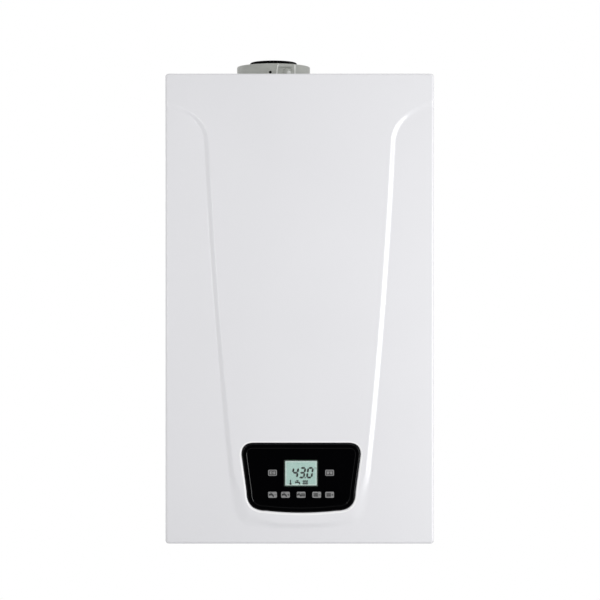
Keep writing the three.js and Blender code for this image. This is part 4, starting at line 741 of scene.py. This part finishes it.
def eased(share):
    share = np.clip(share, 0, 1)
    return share * share * (3 - 2 * share)


# ---------------------------------------------------------------- meshes

class Shell:
    """Points with their own normals, and the faces between them."""

    def __init__(self):
        self.points = []
        self.normals = []
        self.faces = []
        self.paints = []

    def add_points(self, points, normals):
        first = len(self.points)
        self.points += [tuple(p) for p in points]
        self.normals += [tuple(n) for n in normals]
        return first

    def add_sheet(self, points, normals, faces, paints=None):
        """Points with the faces that join them, each turned to agree with its normals."""
        first = self.add_points(points, normals)
        self.faces += [self.facing([first + int(i) for i in face]) for face in faces]
        self.paints += paints or [0] * len(faces)

    def add_band(self, near, far, normals, paint=0):
        """A closed ring of faces between two loops that share their normals."""
        count = len(near)
        a = self.add_points(near, normals)
        b = self.add_points(far, normals)
        for i in range(count):
            j = (i + 1) % count
            self.faces.append(self.facing([a + i, a + j, b + j, b + i]))
        self.paints += [paint] * count

    def facing(self, face):
        """The face in the order that agrees with its points' normals."""
        p = [np.array(self.points[i]) for i in face]
        flat = np.cross(p[1] - p[0], p[2] - p[0])
        if len(face) == 4:
            flat = flat + np.cross(p[2] - p[0], p[3] - p[0])
        wanted = sum(np.array(self.normals[i]) for i in face)
        return face if flat @ wanted >= 0 else face[::-1]

    def made(self, name, materials):
        piece = plain_piece(name, self.points, self.faces, materials, self.paints, rounded=True)
        lengths = np.linalg.norm(np.array(self.normals, float), axis=1)
        normals = np.array(self.normals, float) / np.maximum(lengths, TINY)[:, None]
        piece.data.normals_split_custom_set_from_vertices([tuple(n) for n in normals])
        return piece


def slopes(height, places, step=0.02):
    """Outward normals of the surface y = height(x, z) that faces the viewer."""
    places = np.asarray(places, float)
    across = height(places + [step, 0]) - height(places - [step, 0])
    upward = height(places + [0, step]) - height(places - [0, step])
    return np.stack([across / (2 * step), -np.ones(len(places)), upward / (2 * step)], 1)


SAME_PLACE = 1e-5


def triangulated(loops, inner, keep):
    """Triangles between closed loops and loose points; keep says which centres belong.

    Returns the places, the triangles and where each loop's points are among the places.
    """
    places = []
    edges = []
    for loop in loops:
        first = len(places)
        places += [tuple(p) for p in loop]
        count = len(loop)
        edges += [(first + i, first + (i + 1) % count) for i in range(count)]
    places += [tuple(p) for p in inner]
    found = geometry.delaunay_2d_cdt([Vector(p) for p in places], edges, [], 0, SAME_PLACE)
    where = np.array([tuple(p) for p in found[0]])
    faces = np.array(found[2])
    faces = faces[keep(where[faces].mean(1))]
    index = {source: place for place, sources in enumerate(found[3]) for source in sources}
    ordered = []
    first = 0
    for loop in loops:
        ordered.append([index[first + i] for i in range(len(loop))])
        first += len(loop)
    return where, faces, ordered


def outward(loop, sign=1):
    """Level normals of a closed loop in the plane of the front, away from its middle."""
    points = np.array(loop, float)
    inward = moved_in(points, 1) - points
    return np.stack([-inward[:, 0], np.zeros(len(points)), -inward[:, 1]], 1) * sign


def at_depth(loop, depth):
    """A loop in the plane of the front at one depth, or at one depth a point."""
    points = np.array(loop, float)
    return np.stack([points[:, 0], np.broadcast_to(depth, len(points)), points[:, 1]], 1)


def dress(piece, body, slot, *nodes):
    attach(piece, body)
    if nodes:
        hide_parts(*nodes)


# ---------------------------------------------------------------- front panel

SPREAD_MIDDLE = (RELIEF_FOOT_HALF - 8, 52)  # x and height, of the wider line at a lower corner
CORNER_STEPS = 8
NEAR_FLARE = 12
RIM_FINE = 0.8
RIM_COARSE = 3.9
HOLE_STEP = 1.2
LINE_STEP = 1.6
GRID = 25
INSIDE = 0.02  # loose points keep this far from the rim and the window
# Rows of points beside the rim in shares of its rounding, beside the window and the pressed line
RIM_ROWS = (0.03, 0.12, 0.28, 0.5, 0.75, 1.0, 1.25)
WINDOW_ROWS = (0.06, 0.25, 0.55, 0.95, LIP_EDGE, RIM_WIDTH, 3.2)
LINE_ROWS = (
    -6.2, -5.2, -4.2, -3.2, -2.2, -1.1, 0, 1.1, 2.2, 3.2, 4.2, 5.2, 6.2, 8, 11, 15, 19,
)
CLEAR_OF_RIM = 1.3  # in shares of the rim's rounding, where the line's rows end


def make_casing_front():
    """The pressed pan: two fields, the line between them, rounded edges and a turned-in window."""
    middle_z = (CASE_TOP + CASE_BOTTOM) / 2
    half_height = (CASE_TOP - CASE_BOTTOM) / 2
    relief = Field(relief_outline())
    border_line = rounded_box(-HALF_CASE, HALF_CASE, CASE_BOTTOM, CASE_TOP, CORNER, CORNER_STEPS)
    border = Field(border_line)
    window_line = window_outline(WINDOW_GAP)
    window = Field(window_line)
    flare = CASE_TOP - RELIEF_FLARE_DROP

    def height(places):
        places = np.asarray(places, float)
        # The line spreads inwards round the two lower corners and fades towards the sides
        x = np.abs(places[:, 0])
        corner = np.hypot(x - SPREAD_MIDDLE[0], places[:, 1] - up(SPREAD_MIDDLE[1]))
        inner = RELIEF_INNER + RELIEF_SPREAD * eased(1 - corner / RELIEF_SPREAD_REACH)
        raised = eased((relief.distance(places) + RELIEF_OUTER) / (RELIEF_OUTER + inner))
        outwards = (x - RELIEF_SHOULDER_HALF) / (HALF_CASE - RELIEF_SHOULDER_HALF)
        upwards = 1 - (flare - places[:, 1]) / RELIEF_FADE_DROP
        step = RELIEF_STEP * (1 - RELIEF_FADE * eased(outwards) * eased(upwards))
        depth = FRONT_FACE + step * (1 - raised)
        depth = depth + rounding(border.distance(places), FRONT_EDGE)
        return depth + rounding(-window.distance(places), LIP_EDGE)

    # Closer points round the corners and where the pressed line meets the casing's sides
    rim = []
    for x, z in spaced(border_line, RIM_FINE):
        on_side = abs(x) > HALF_CASE - NEARLY
        on_end = abs(z - middle_z) > half_height - NEARLY
        fine = abs(z - flare) < NEAR_FLARE or not (on_side or on_end)
        if fine or not rim or math.dist(rim[-1], (x, z)) > RIM_COARSE:
            rim.append((x, z))
    hole = spaced(window_line, HOLE_STEP)
    inner = []
    for share in RIM_ROWS:
        inner += list(moved_in(rim, FRONT_EDGE * share))
    for distance in WINDOW_ROWS:
        inner += list(moved_in(hole, -distance))
    line = spaced(relief_outline(), LINE_STEP)
    for distance in LINE_ROWS:
        offset = moved_in(line, distance)
        inner += list(offset[border.distance(offset) > FRONT_EDGE * CLEAR_OF_RIM])
    for column in range(int(2 * HALF_CASE / GRID)):
        for row in range(int(2 * half_height / GRID)):
            inner.append((-HALF_CASE + (column + 0.5) * GRID, CASE_BOTTOM + (row + 0.5) * GRID))
    inner = np.array(inner)
    inner = inner[(window.distance(inner) < -INSIDE) & (border.distance(inner) > INSIDE)]

    def belongs(centres):
        return (border.distance(centres) > 0) & (window.distance(centres) < 0)

    where, faces, (rim_index, hole_index) = triangulated([rim, hole], inner, belongs)
    depth = height(where)
    normals = slopes(height, where)
    shell = Shell()
    outer = at_depth(where, depth)
    # The band round the window takes the whiter coat: a painted highlight
    painted_highlight_band = -window.distance(where[faces].mean(1)) < RIM_WIDTH
    shell.add_sheet(outer, normals, faces, [int(near) for near in painted_highlight_band])
    shrink = np.array([(HALF_CASE - SHEET) / HALF_CASE, (half_height - SHEET) / half_height])
    inside = (where - [0, middle_z]) * shrink + [0, middle_z]
    lining = at_depth(inside, depth + SHEET)
    shell.add_sheet(lining, -normals, faces)

    # Folded sides back to the seam, with the sheet's thickness at their ends
    level = outward(rim)
    edge = outer[rim_index]
    end = at_depth(rim, SEAM_FACE)
    inner_rim = lining[rim_index]
    inner_end = inner_rim.copy()
    inner_end[:, 1] = SEAM_FACE
    shell.add_band(edge, end, level)
    shell.add_band(end, inner_end, np.tile([0, 1, 0], (len(rim), 1)))
    shell.add_band(inner_end, inner_rim, -level)

    # The window's edge turned in
    level = outward(hole, -1)
    edge = outer[hole_index]
    lip_end = at_depth(hole, FRONT_FACE + LIP_DEPTH)
    far = moved_in(hole, -LIP_WALL)
    far_end = at_depth(far, FRONT_FACE + LIP_DEPTH)
    far_start = at_depth(far, FRONT_FACE + SHEET)
    # The turned-in edge's outer wall takes the whiter coat: a painted highlight
    shell.add_band(edge, lip_end, level, 1)
    shell.add_band(lip_end, far_end, np.tile([0, 1, 0], (len(hole), 1)))
    shell.add_band(far_end, far_start, -level)
    pan = shell.made("front_pan", [LOOKS["case_paint"], PAINTED_HIGHLIGHT_COAT])
    dress(pan, "front_panel", "case_paint", "casing_front")


# ---------------------------------------------------------------- facia, display and keys

PLATE_MARGIN = 0.01  # loose points keep this far from a plate's border and holes
# Rows of points beside borders and holes
HOLE_ROWS = (0.02, 0.1, 0.3, 0.5)
LENS_ROWS = (0.02, 0.1, 0.25, 0.5)
KEY_ROWS = (0.02, 0.1, 0.3, 0.55, 0.8, 1.1)
CELL_ROWS = (1.0,)
EDGE_SHARES = (0.04, 0.15, 0.35, 0.6, 1.0, 1.3)  # of the facia's rounded edge
BEVEL_SHARES = (-0.8, -0.5, -0.25, 0, 0.25, 0.5, 0.8)  # of its field's bevel
KEY_STEP = 0.8
CELL_STEP = 4


def make_plate(name, border_line, hole_lines, height, bands, hole_bands, back, look, step=1.0):
    """A closed plate: a modelled face, walls at its border and holes, and a flat back."""
    border = Field(border_line)
    holes = [Field(line) for line in hole_lines]
    rim = spaced(border_line, step)
    loops = [rim] + [spaced(line, step) for line in hole_lines]
    inner = []
    for distance in bands:
        inner += list(moved_in(rim, distance))
    for loop in loops[1:]:
        for distance in hole_bands:
            inner += list(moved_in(loop, -distance))

    def belongs(centres, margin=0.0):
        kept = border.distance(centres) > margin
        for hole in holes:
            kept &= hole.distance(centres) < -margin
        return kept

    inner = np.array(inner)
    inner = inner[belongs(inner, PLATE_MARGIN)]
    where, faces, ordered = triangulated(loops, inner, belongs)
    shell = Shell()
    outer = at_depth(where, height(where))
    shell.add_sheet(outer, slopes(height, where), faces)
    shell.add_sheet(at_depth(where, back), np.tile([0, 1, 0], (len(where), 1)), faces)
    for number, (loop, index) in enumerate(zip(loops, ordered)):
        level = outward(loop, 1 if number == 0 else -1)
        shell.add_band(outer[index], at_depth(loop, back), level)
    return shell.made(name, [look])


def key_middle(key):
    low, high = frame_box(key)
    return (low[0] + high[0]) / 2, (low[2] + high[2]) / 2


def key_outline(key, grow):
    """A key's outline, grown outwards by a margin."""
    x, z = key_middle(key)
    w = KEY_WIDTH / 2 + grow
    h = KEY_HEIGHT / 2 + grow
    return rounded_box(x - w, x + w, z - h, z + h, KEY_CORNER + grow)


def display_outline(grow, corner):
    return rounded_box(
        display_low[0] - grow, display_high[0] + grow, display_low[2] - grow, display_high[2] + grow,
        corner,
    )


def make_facia():
    """Black film facia with a slightly sunk field, round the display and the seven keys."""
    border_line = window_outline(0)
    border = Field(border_line)
    holes = [display_outline(KEY_GAP, LENS_HOLE_CORNER)]
    holes += [key_outline(key, KEY_GAP) for key in KEYS]
    hole_fields = [Field(line) for line in holes]

    def height(places):
        inset = border.distance(places)
        depth = FACIA_FACE + rounding(inset, FACIA_EDGE)
        depth = depth + FIELD_STEP * eased((inset - FIELD_INSET) / FIELD_BEVEL + 0.5)
        for hole in hole_fields:
            depth = depth + rounding(-hole.distance(places), HOLE_EDGE)
        return depth

    bands = [FACIA_EDGE * share for share in EDGE_SHARES]
    bands += [FIELD_INSET + FIELD_BEVEL * share for share in BEVEL_SHARES]
    facia = make_plate(
        "facia_film", border_line, holes, height, bands, HOLE_ROWS, FACIA_BACK,
        LOOKS["facia_gloss"],
    )
    dress(facia, "control_box", "facia_gloss", "control_facia")


def make_lens():
    """Clear window, its face level with the facia's sunk field."""
    outline = display_outline(0, LENS_CORNER)
    border = Field(outline)

    def height(places):
        return FACIA_FACE + FIELD_STEP + rounding(border.distance(places), LENS_EDGE)

    lens = make_plate(
        "display_lens", outline, [], height, LENS_ROWS, (), display_high[1], LOOKS["lens"],
    )
    dress(lens, "control_box", "lens", "display_window")


def flat_print(name, outlines, depth, thickness, look):
    """Closed thin shapes in the plane of the front, facing the viewer."""
    points = []
    faces = []
    for outline in outlines:
        following = outline[1:] + outline[:1]
        area = sum(a[0] * b[1] - b[0] * a[1] for a, b in zip(outline, following))
        loop = outline if area > 0 else outline[::-1]
        first = len(points)
        count = len(loop)
        points += [(x, depth - thickness, z) for x, z in loop]
        points += [(x, depth, z) for x, z in loop]
        faces.append(tuple(first + i for i in range(count)))
        faces.append(tuple(first + count + i for i in reversed(range(count))))
        for i in range(count):
            j = (i + 1) % count
            faces.append((first + i, first + count + i, first + count + j, first + j))
    return plain_piece(name, points, faces, [look])


def box_shape(x0, x1, z0, z1):
    return [(x0, z0), (x1, z0), (x1, z1), (x0, z1)]


def circle_place(x, z, radius, angle):
    return (x + radius * math.cos(angle), z + radius * math.sin(angle))


def ring_shapes(x, z, radius, width, start=0, sweep=360, parts=20):
    """A ring, or part of one, as short closed quadrilaterals."""
    made = []
    for i in range(parts):
        a, b = (math.radians(start + sweep * (i + k) / parts) for k in (0, 1))
        corners = ((radius - width, a), (radius, a), (radius, b), (radius - width, b))
        made.append([circle_place(x, z, *corner) for corner in corners])
    return made


def disc_shape(x, z, radius, parts=20):
    return [circle_place(x, z, radius, 2 * math.pi * i / parts) for i in range(parts)]


def placed(shapes, x, z, size):
    """Shapes drawn about their middle at size 1, brought to a place and a size."""
    return [[(x + size * a, z + size * b) for a, b in shape] for shape in shapes]


TAP = (
    box_shape(-0.5, 0.2, -0.16, 0.2),  # body
    [(0.2, -0.16), (0.32, -0.5), (0.62, -0.5), (0.56, -0.05), (0.36, 0.2), (0.2, 0.2)],  # spout
    box_shape(-0.2, 0, 0.2, 0.38),  # stem
    box_shape(-0.42, 0.22, 0.38, 0.56),  # handle
    box_shape(-0.66, -0.5, -0.26, 0.3),  # wall flange
)
THERMOMETER = (box_shape(-0.14, 0.14, -0.12, 0.6), disc_shape(0, -0.34, 0.26))
MINUS = (box_shape(-0.5, 0.5, -0.14, 0.14),)
PLUS = MINUS + (box_shape(-0.14, 0.14, 0.14, 0.5), box_shape(-0.14, 0.14, -0.5, -0.14))


def radiator(columns):
    """Upright columns between two rails."""
    made = [box_shape(-0.6, 0.6, 0.2, 0.32), box_shape(-0.6, 0.6, -0.32, -0.2)]
    pitch = 1.1 / columns
    for i in range(columns):
        left = -0.55 + (i + 0.16) * pitch
        for foot, top in ((-0.46, -0.32), (-0.2, 0.2), (0.32, 0.46)):
            made.append(box_shape(left, left + 0.68 * pitch, foot, top))
    return made


# The seven bars of a digit, on a grid of one by two with its corner at the lower left
BARS = {
    "top": ((0, 2), (1, 2)),
    "middle": ((0, 1), (1, 1)),
    "bottom": ((0, 0), (1, 0)),
    "upper_left": ((0, 1), (0, 2)),
    "upper_right": ((1, 1), (1, 2)),
    "lower_left": ((0, 0), (0, 1)),
    "lower_right": ((1, 0), (1, 1)),
}
# The reading, digit by digit: the left end of each and the bars that are on
READING = (
    (-11.2, ("upper_left", "middle", "upper_right", "lower_right")),
    (-0.8, ("top", "upper_right", "middle", "lower_right", "bottom")),
    (10.6, ("top", "upper_left", "upper_right", "lower_left", "lower_right", "bottom")),
)
DIGIT_WIDTH = 6.9
DIGIT_HEIGHT = 14.2
BAR_WIDTH = 2.9
BAR_GAP = 0.25
DIGIT_LEAN = 0.16
DIGIT_FOOT = 98.8  # above the casing's lower edge
POINT = (7.3, 8.9, -1.3, 0.7)  # the decimal point, from the digits' foot
DEGREE = (23.2, 13.6, 1.5, 0.7)  # place from the digits' foot, radius and line
DISPLAY_SIGNS = ((THERMOMETER, -13.7, 6.2), (TAP, -2.9, 6), (radiator(5), 8.3, 7))
DISPLAY_SIGN_HEIGHT = 91.6
CELL_CORNER = 0.6
CELL_BORDER = 2.2
CELL_FIELD_CORNER = 0.5
PRINT = 0.05  # thickness of the cell's field and of its segments
INK_FILM = 0.04


def bar_shape(start, end, x, foot):
    """One bar of a digit with pointed ends, leaning with the digit."""
    ax, az = start[0] * DIGIT_WIDTH, start[1] * DIGIT_HEIGHT / 2
    bx, bz = end[0] * DIGIT_WIDTH, end[1] * DIGIT_HEIGHT / 2
    length = math.hypot(bx - ax, bz - az)
    ux, uz = (bx - ax) / length, (bz - az) / length
    half = BAR_WIDTH / 2
    near, far = BAR_GAP + half, length - BAR_GAP - half
    shape = []
    for along, side in ((BAR_GAP, 0), (near, half), (far, half), (length - BAR_GAP, 0),
                        (far, -half), (near, -half)):
        px = ax + ux * along - uz * side
        pz = az + uz * along + ux * side
        shape.append((x + px + DIGIT_LEAN * pz, foot + pz))
    return shape


def make_display():
    """The cell behind the lens: body, pale border, green field, digits and small signs."""
    x0, x1 = module_low[0], module_high[0]
    z0, z1 = module_low[2], module_high[2]
    outline = rounded_box(x0, x1, z0, z1, CELL_CORNER)
    inset = CELL_BORDER
    field_line = rounded_box(x0 + inset, x1 - inset, z0 + inset, z1 - inset, CELL_FIELD_CORNER)
    front = module_low[1]
    body = make_plate(
        "display_cell", outline, [], lambda places: np.full(len(places), front), CELL_ROWS, (),
        module_high[1], LCD_BORDER, CELL_STEP,
    )
    dress(body, "control_box", "lcd", "display_module")
    foot = up(DIGIT_FOOT)
    shapes = [bar_shape(*BARS[bar], x, foot) for x, bars in READING for bar in bars]
    shapes += placed([box_shape(*POINT)], 0, foot, 1)
    for sign, x, size in DISPLAY_SIGNS:
        shapes += placed(sign, x, up(DISPLAY_SIGN_HEIGHT), size)
    degree = ring_shapes(DEGREE[0], foot + DEGREE[1], *DEGREE[2:])
    for name, outlines, depth, look in (
        ("display_field", [field_line], front, LOOKS["lcd"]),
        ("display_digits", shapes, front - PRINT, SEGMENT),
        ("display_degree", degree, front - PRINT, GHOST),
    ):
        dress(flat_print(name, outlines, depth, PRINT, look), "control_box", "lcd")


FRAME_WIDTH = 10.2
FRAME_HEIGHT = 6.6
FRAME_LINE = 1.0


def framed(x, z):
    """A rectangular frame as four bars."""
    w, h = FRAME_WIDTH / 2, FRAME_HEIGHT / 2
    line = FRAME_LINE
    return placed((
        box_shape(-w, w, h - line, h), box_shape(-w, w, -h, line - h),
        box_shape(-w, line - w, line - h, h - line), box_shape(w - line, w, line - h, h - line),
    ), x, z, 1)


RESET_TURN = (1.8, 0.8, 70, 280, 16)  # the arrow's radius, line, start, sweep and parts
RESET_HEAD = [(0.3, 2.4), (2.0, 1.6), (0.5, 0.4)]
INFORMATION = (disc_shape(0, 1.5, 0.6), box_shape(-0.6, 0.6, -1.3, 0.6),
               box_shape(-1.5, 1.5, -2.0, -1.3))
# Signs, how far each stands to the right of its key's middle, and their sizes
MODE_SIGNS = ((TAP, -2.7, 5), (radiator(3), 3, 5))
PICTURE_PLACE, PICTURE_SIZE = -1.4, 5.8
MARK_PLACE, MARK_SIZE = 4.2, 3


def key_signs(key, x, z):
    """The generic sign printed on a key, about the middle of its face."""
    if key == "key_reset":
        return framed(x, z) + ring_shapes(x, z, *RESET_TURN) + placed([RESET_HEAD], x, z, 1)
    if key == "key_info":
        return framed(x, z) + placed(INFORMATION, x, z, 1)
    if key == "key_mode":
        return [shape for sign, along, size in MODE_SIGNS for shape in placed(sign, x + along, z, size)]
    mark = placed(PLUS if key.endswith("up") else MINUS, x + MARK_PLACE, z, MARK_SIZE)
    return placed(TAP if "water" in key else radiator(4), x + PICTURE_PLACE, z, PICTURE_SIZE) + mark


def make_keys():
    """Key caps with a rounded edge, and the sign printed on each."""
    for key in KEYS:
        low, high = frame_box(key)
        face = low[1]
        outline = key_outline(key, 0)
        border = Field(outline)

        def height(places):
            return face + rounding(border.distance(places), KEY_EDGE)

        cap = make_plate(
            key + "_cap", outline, [], height, KEY_ROWS, (), high[1] - KEY_STEM,
            LOOKS["key_grey"], KEY_STEP,
        )
        dress(cap, key, "key_grey", key)
        signs = flat_print(key + "_sign", key_signs(key, *key_middle(key)), face, INK_FILM, INK)
        dress(signs, key, "key_grey")


# ---------------------------------------------------------------- turned and upright pieces

def lattice(name, points, columns, materials, paints=None, rounded=False):
    """A closed ring of columns whose own points run round a closed section."""
    rows = len(points) // columns
    faces = []
    for i in range(columns):
        j = (i + 1) % columns
        for k in range(rows):
            m = (k + 1) % rows
            faces.append((i * rows + k, j * rows + k, j * rows + m, i * rows + m))
    return plain_piece(name, points, faces, materials, paints, rounded)


def turned(name, section, sides, look):
    """A closed ring about the flue's axis, from a closed section of (radius, height)."""
    points = []
    for i in range(sides):
        angle = 2 * math.pi * i / sides
        for radius, z in section:
            points.append((*circle_place(FLUE_X, FLUE_Y, radius, angle), z))
    return lattice(name, points, sides, [look], rounded=True)


def spun(name, start, along, profile, sides, materials, painted_from):
    """A closed solid spun about an axis, from a profile of (radius, place along the axis).

    The rings from a place in the profile on, and the end behind them, take the second material.
    """
    axis = along.to_track_quat("Z", "Y")
    points = []
    faces = []
    for radius, place in profile:
        for i in range(sides):
            x, y = circle_place(0, 0, radius, 2 * math.pi * i / sides)
            points.append(tuple(axis @ Vector((x, y, place)) + Vector(start)))
    for k in range(len(profile) - 1):
        for i in range(sides):
            j = (i + 1) % sides
            faces.append((k * sides + i, k * sides + j, (k + 1) * sides + j, (k + 1) * sides + i))
    faces.append(tuple(reversed(range(sides))))
    faces.append(tuple(range(len(points) - sides, len(points))))
    paints = [int(k >= painted_from) for k in range(len(profile) - 1) for i in range(sides)]
    piece = plain_piece(name, points, faces, materials, paints + [0, 1], rounded=True)
    smooth(piece)
    return piece


def prism(name, corners, low, high, look):
    """An upright block over a level outline given anticlockwise."""
    count = len(corners)
    points = [(x, y, z) for z in (low, high) for x, y in corners]
    faces = [tuple(reversed(range(count))), tuple(range(count, 2 * count))]
    faces += [(i, (i + 1) % count, count + (i + 1) % count, count + i) for i in range(count)]
    return plain_piece(name, points, faces, [look])


# ---------------------------------------------------------------- flue collar

FLUE_Y = -140
COLLAR_FOOT = CASE_TOP + 0.3
COLLAR_TOP = collar_high[2] - 2  # of its wall; the inner tube stands 2 higher
COLLAR_SIDES = 288
AIR_RADIUS = 50
GAS_RADIUS = 30
GAS_WALL = 3
TUBE_RADIUS = GAS_RADIUS + GAS_WALL
TUBE_EDGE = 0.8
TUBE_SIDES = 96

# Places round the wall are in degrees from the front to the right, and WALL_ARC is a degree of it
WALL_ARC = math.radians(COLLAR_RADIUS)
WALL_EDGE = 1.3
WALL_ROWS = 20
PANEL = (7, 31)  # the sunk panel's two ends
PANEL_SINK = 3.2
PANEL_SLOPE = 1.8
PANEL_TOP_DROP = 4.5
PANEL_TOP_SLOPE = 2.2
RIBS = ((3.6, 8.2, 1.7), (35.4, 35.4, 2.4))  # degrees at the foot and the top, half width in mm
RIB_RISE = 1.3
RIB_SLOPE = 0.9
# Faces this far inside a rib's edges take the paler plastic: a painted highlight
RIB_HIGHLIGHT_INSET = 0.5
BOSS_RADIUS = 7.4
BOSS_SLOPE = 0.9
BOSS_RISE = 1
CAP_HEIGHT = CASE_TOP + 13
GAS_CAP_TURN = 24
AIR_CAP_TURN = -4
CAP_SEAT = COLLAR_RADIUS + BOSS_RISE + 0.3  # the caps' rims stand just off their bosses
CAP_SIDES = 48

SPOKES = 4
SPOKE_HALF = 1.5
SPOKE_EDGE = 0.5
SPOKE_HEIGHT = 14
SPOKE_SINK = 0.5  # its ends go this far into the tube and the wall

# Profiles of the caps: radius, and place out from the seat
CAP_STEM = ((2.7, -3.2), (2.7, 0), (5.3, 0), (5.5, 0.3), (5.5, 1.6), (5.2, 2), (4.3, 2.1), (4, 1.7))
CAP_DOMED = ((3.2, 1.6), (2.8, 2.3), (1.9, 2.9), (1, 3))
CAP_DISHED = ((2.2, 1.7), (2, 1.4), (2, 0.4), (1, 0.4))

SEAL_SIDES = 128
SEAL_LAP = 4.6  # the seal's lip reaches this far down inside the tube
SEAL_CLEAR = 0.3
SEAL_EDGE = 0.3


def off_rib(turn, share, rib):
    """How far a place on the wall, at a share of its height, lies from a rib's middle."""
    foot, top, _ = rib
    return abs(turn - foot - (top - foot) * share) * WALL_ARC


# Whether a face lies on a rib, where the paler plastic paints a highlight
def on_rib_highlight(turn, share):
    return any(off_rib(turn, share, rib) < rib[2] - RIB_HIGHLIGHT_INSET for rib in RIBS)


def collar_reach(turn, z):
    """The wall's radius at a place round it and a height."""
    share = (z - COLLAR_FOOT) / (COLLAR_TOP - COLLAR_FOOT)
    ends = eased((turn - PANEL[0]) / PANEL_SLOPE) * eased((PANEL[1] - turn) / PANEL_SLOPE)
    panel = ends * eased((COLLAR_TOP - PANEL_TOP_DROP - z) / PANEL_TOP_SLOPE)
    radius = COLLAR_RADIUS - PANEL_SINK * panel
    for middle in (GAS_CAP_TURN, AIR_CAP_TURN):
        away = math.hypot((turn - middle) * WALL_ARC, z - CAP_HEIGHT)
        radius += (COLLAR_RADIUS + BOSS_RISE - radius) * eased((BOSS_RADIUS - away) / BOSS_SLOPE)
    for rib in RIBS:
        radius += RIB_RISE * eased((rib[2] - off_rib(turn, share, rib)) / RIB_SLOPE)
    return radius


def collar_section(turn):
    """The wall's section: modelled outside from the foot up, rounded top edge, plain inside."""
    high = COLLAR_TOP - WALL_EDGE
    levels = [COLLAR_FOOT + (high - COLLAR_FOOT) * i / WALL_ROWS for i in range(WALL_ROWS + 1)]
    points = [(collar_reach(turn, z), z) for z in levels]
    outer = points[-1][0]
    for angle in (30, 60, 90):
        lean = math.radians(angle)
        points.append((outer - WALL_EDGE * (1 - math.cos(lean)), high + WALL_EDGE * math.sin(lean)))
    return points + [
        (AIR_RADIUS + TUBE_EDGE, COLLAR_TOP), (AIR_RADIUS, COLLAR_TOP - TUBE_EDGE),
        (AIR_RADIUS, COLLAR_FOOT),
    ]


def make_collar():
    """Wall with its panel, ribs and bosses, the inner tube, and four spokes that carry it."""
    plastic = LOOKS["grey_plastic"]
    points = []
    paints = []
    for i in range(COLLAR_SIDES):
        turn = 360 * i / COLLAR_SIDES
        angle = math.radians(turn)
        beside = 360 * (i + 0.5) / COLLAR_SIDES
        section = collar_section(turn if turn < 180 else turn - 360)
        for k, (radius, z) in enumerate(section):
            points.append((FLUE_X + radius * math.sin(angle), FLUE_Y - radius * math.cos(angle), z))
            # Faces on the ribs take the paler plastic: a painted highlight
            highlit = on_rib_highlight(beside if beside < 180 else beside - 360, (k + 0.5) / WALL_ROWS)
            paints.append(int(k < WALL_ROWS and highlit))
    wall = lattice("collar_wall", points, COLLAR_SIDES, [plastic, RIB_HIGHLIGHT], paints)
    smooth(wall)
    dress(wall, "chassis", "grey_plastic", "flue_collar")
    low, top = collar_low[2], collar_high[2]
    tube = turned("collar_tube", (
        (TUBE_RADIUS, low), (TUBE_RADIUS, top - TUBE_EDGE), (TUBE_RADIUS - TUBE_EDGE, top),
        (GAS_RADIUS + TUBE_EDGE, top), (GAS_RADIUS, top - TUBE_EDGE), (GAS_RADIUS, low),
    ), TUBE_SIDES, plastic)
    smooth(tube)
    dress(tube, "chassis", "grey_plastic")
    near, far = TUBE_RADIUS - SPOKE_SINK, AIR_RADIUS + SPOKE_SINK
    outline = box_shape(near, far, -SPOKE_HALF, SPOKE_HALF)
    for number in range(SPOKES):
        angle = math.radians(45 + 360 / SPOKES * number)
        corners = [(
            FLUE_X + along * math.cos(angle) - side * math.sin(angle),
            FLUE_Y + along * math.sin(angle) + side * math.cos(angle),
        ) for along, side in outline]
        spoke = prism(
            f"collar_spoke_{number}", corners, COLLAR_FOOT, COLLAR_FOOT + SPOKE_HEIGHT, plastic,
        )
        soften(spoke, SPOKE_EDGE)
        dress(spoke, "chassis", "grey_plastic")


def make_test_caps():
    """Plugs with a grip rim on the collar's two sampling points, each on its own slide."""
    for node, turn, middle, faced in (
        # The gas cap's domed face takes the paler plastic: a painted highlight
        ("test_cap_gas", GAS_CAP_TURN, CAP_DOMED, RIB_HIGHLIGHT),
        ("test_cap_air", AIR_CAP_TURN, CAP_DISHED, LOOKS["black_rubber"]),
    ):
        angle = math.radians(turn)
        away = Vector((math.sin(angle), -math.cos(angle), 0))
        profile = [(radius, CAP_SEAT + place) for radius, place in CAP_STEM + middle]
        cap = spun(
            node + "_dome", (FLUE_X, FLUE_Y, CAP_HEIGHT), away, profile, CAP_SIDES,
            [LOOKS["grey_plastic"], faced], len(CAP_STEM),
        )
        dress(cap, node, "grey_plastic", node)


def make_seal():
    """Black ring in the collar's mouth, with a lip that laps over the inner tube."""
    low, top = seal_low[2], seal_high[2]
    radius = SEAL_RADIUS
    tube = TUBE_RADIUS + SEAL_CLEAR
    piece = turned("lip_seal", (
        (radius - 1.5, low), (radius, low + 4), (radius, top - 3.2), (radius - 0.4, top - 1.6),
        (radius - 1.3, top - 0.5), (radius - 2.6, top), (GAS_RADIUS + 1.6, top),
        (GAS_RADIUS + 0.5, top - 0.5), (GAS_RADIUS, top - 1.6), (GAS_RADIUS, top - SEAL_LAP),
        (tube, top - SEAL_LAP), (tube, low),
    ), SEAL_SIDES, LOOKS["black_rubber"])
    soften(piece, SEAL_EDGE)
    dress(piece, "chassis", "black_rubber", "flue_seal")


# ---------------------------------------------------------------- CAD nodes that keep their shape

NODE_EDGE = 0.4


def finish_nodes():
    """The nodes that aren't made anew keep their slot's finish, with their edges broken."""
    for part in frame["record"]["subparts"]:
        if part["node"] not in REMADE:
            piece = frame["nodes"][part["node"]]
            piece.data.materials.clear()
            piece.data.materials.append(LOOKS[part["material_slot"]])
            soften(piece, NODE_EDGE, imported=True)


# ---------------------------------------------------------------- the scene

set_camera()
set_world()
set_lamps()
set_floor()
finish_nodes()
make_casing_front()
make_facia()
make_lens()
make_display()
make_keys()
make_collar()
make_test_caps()
make_seal()
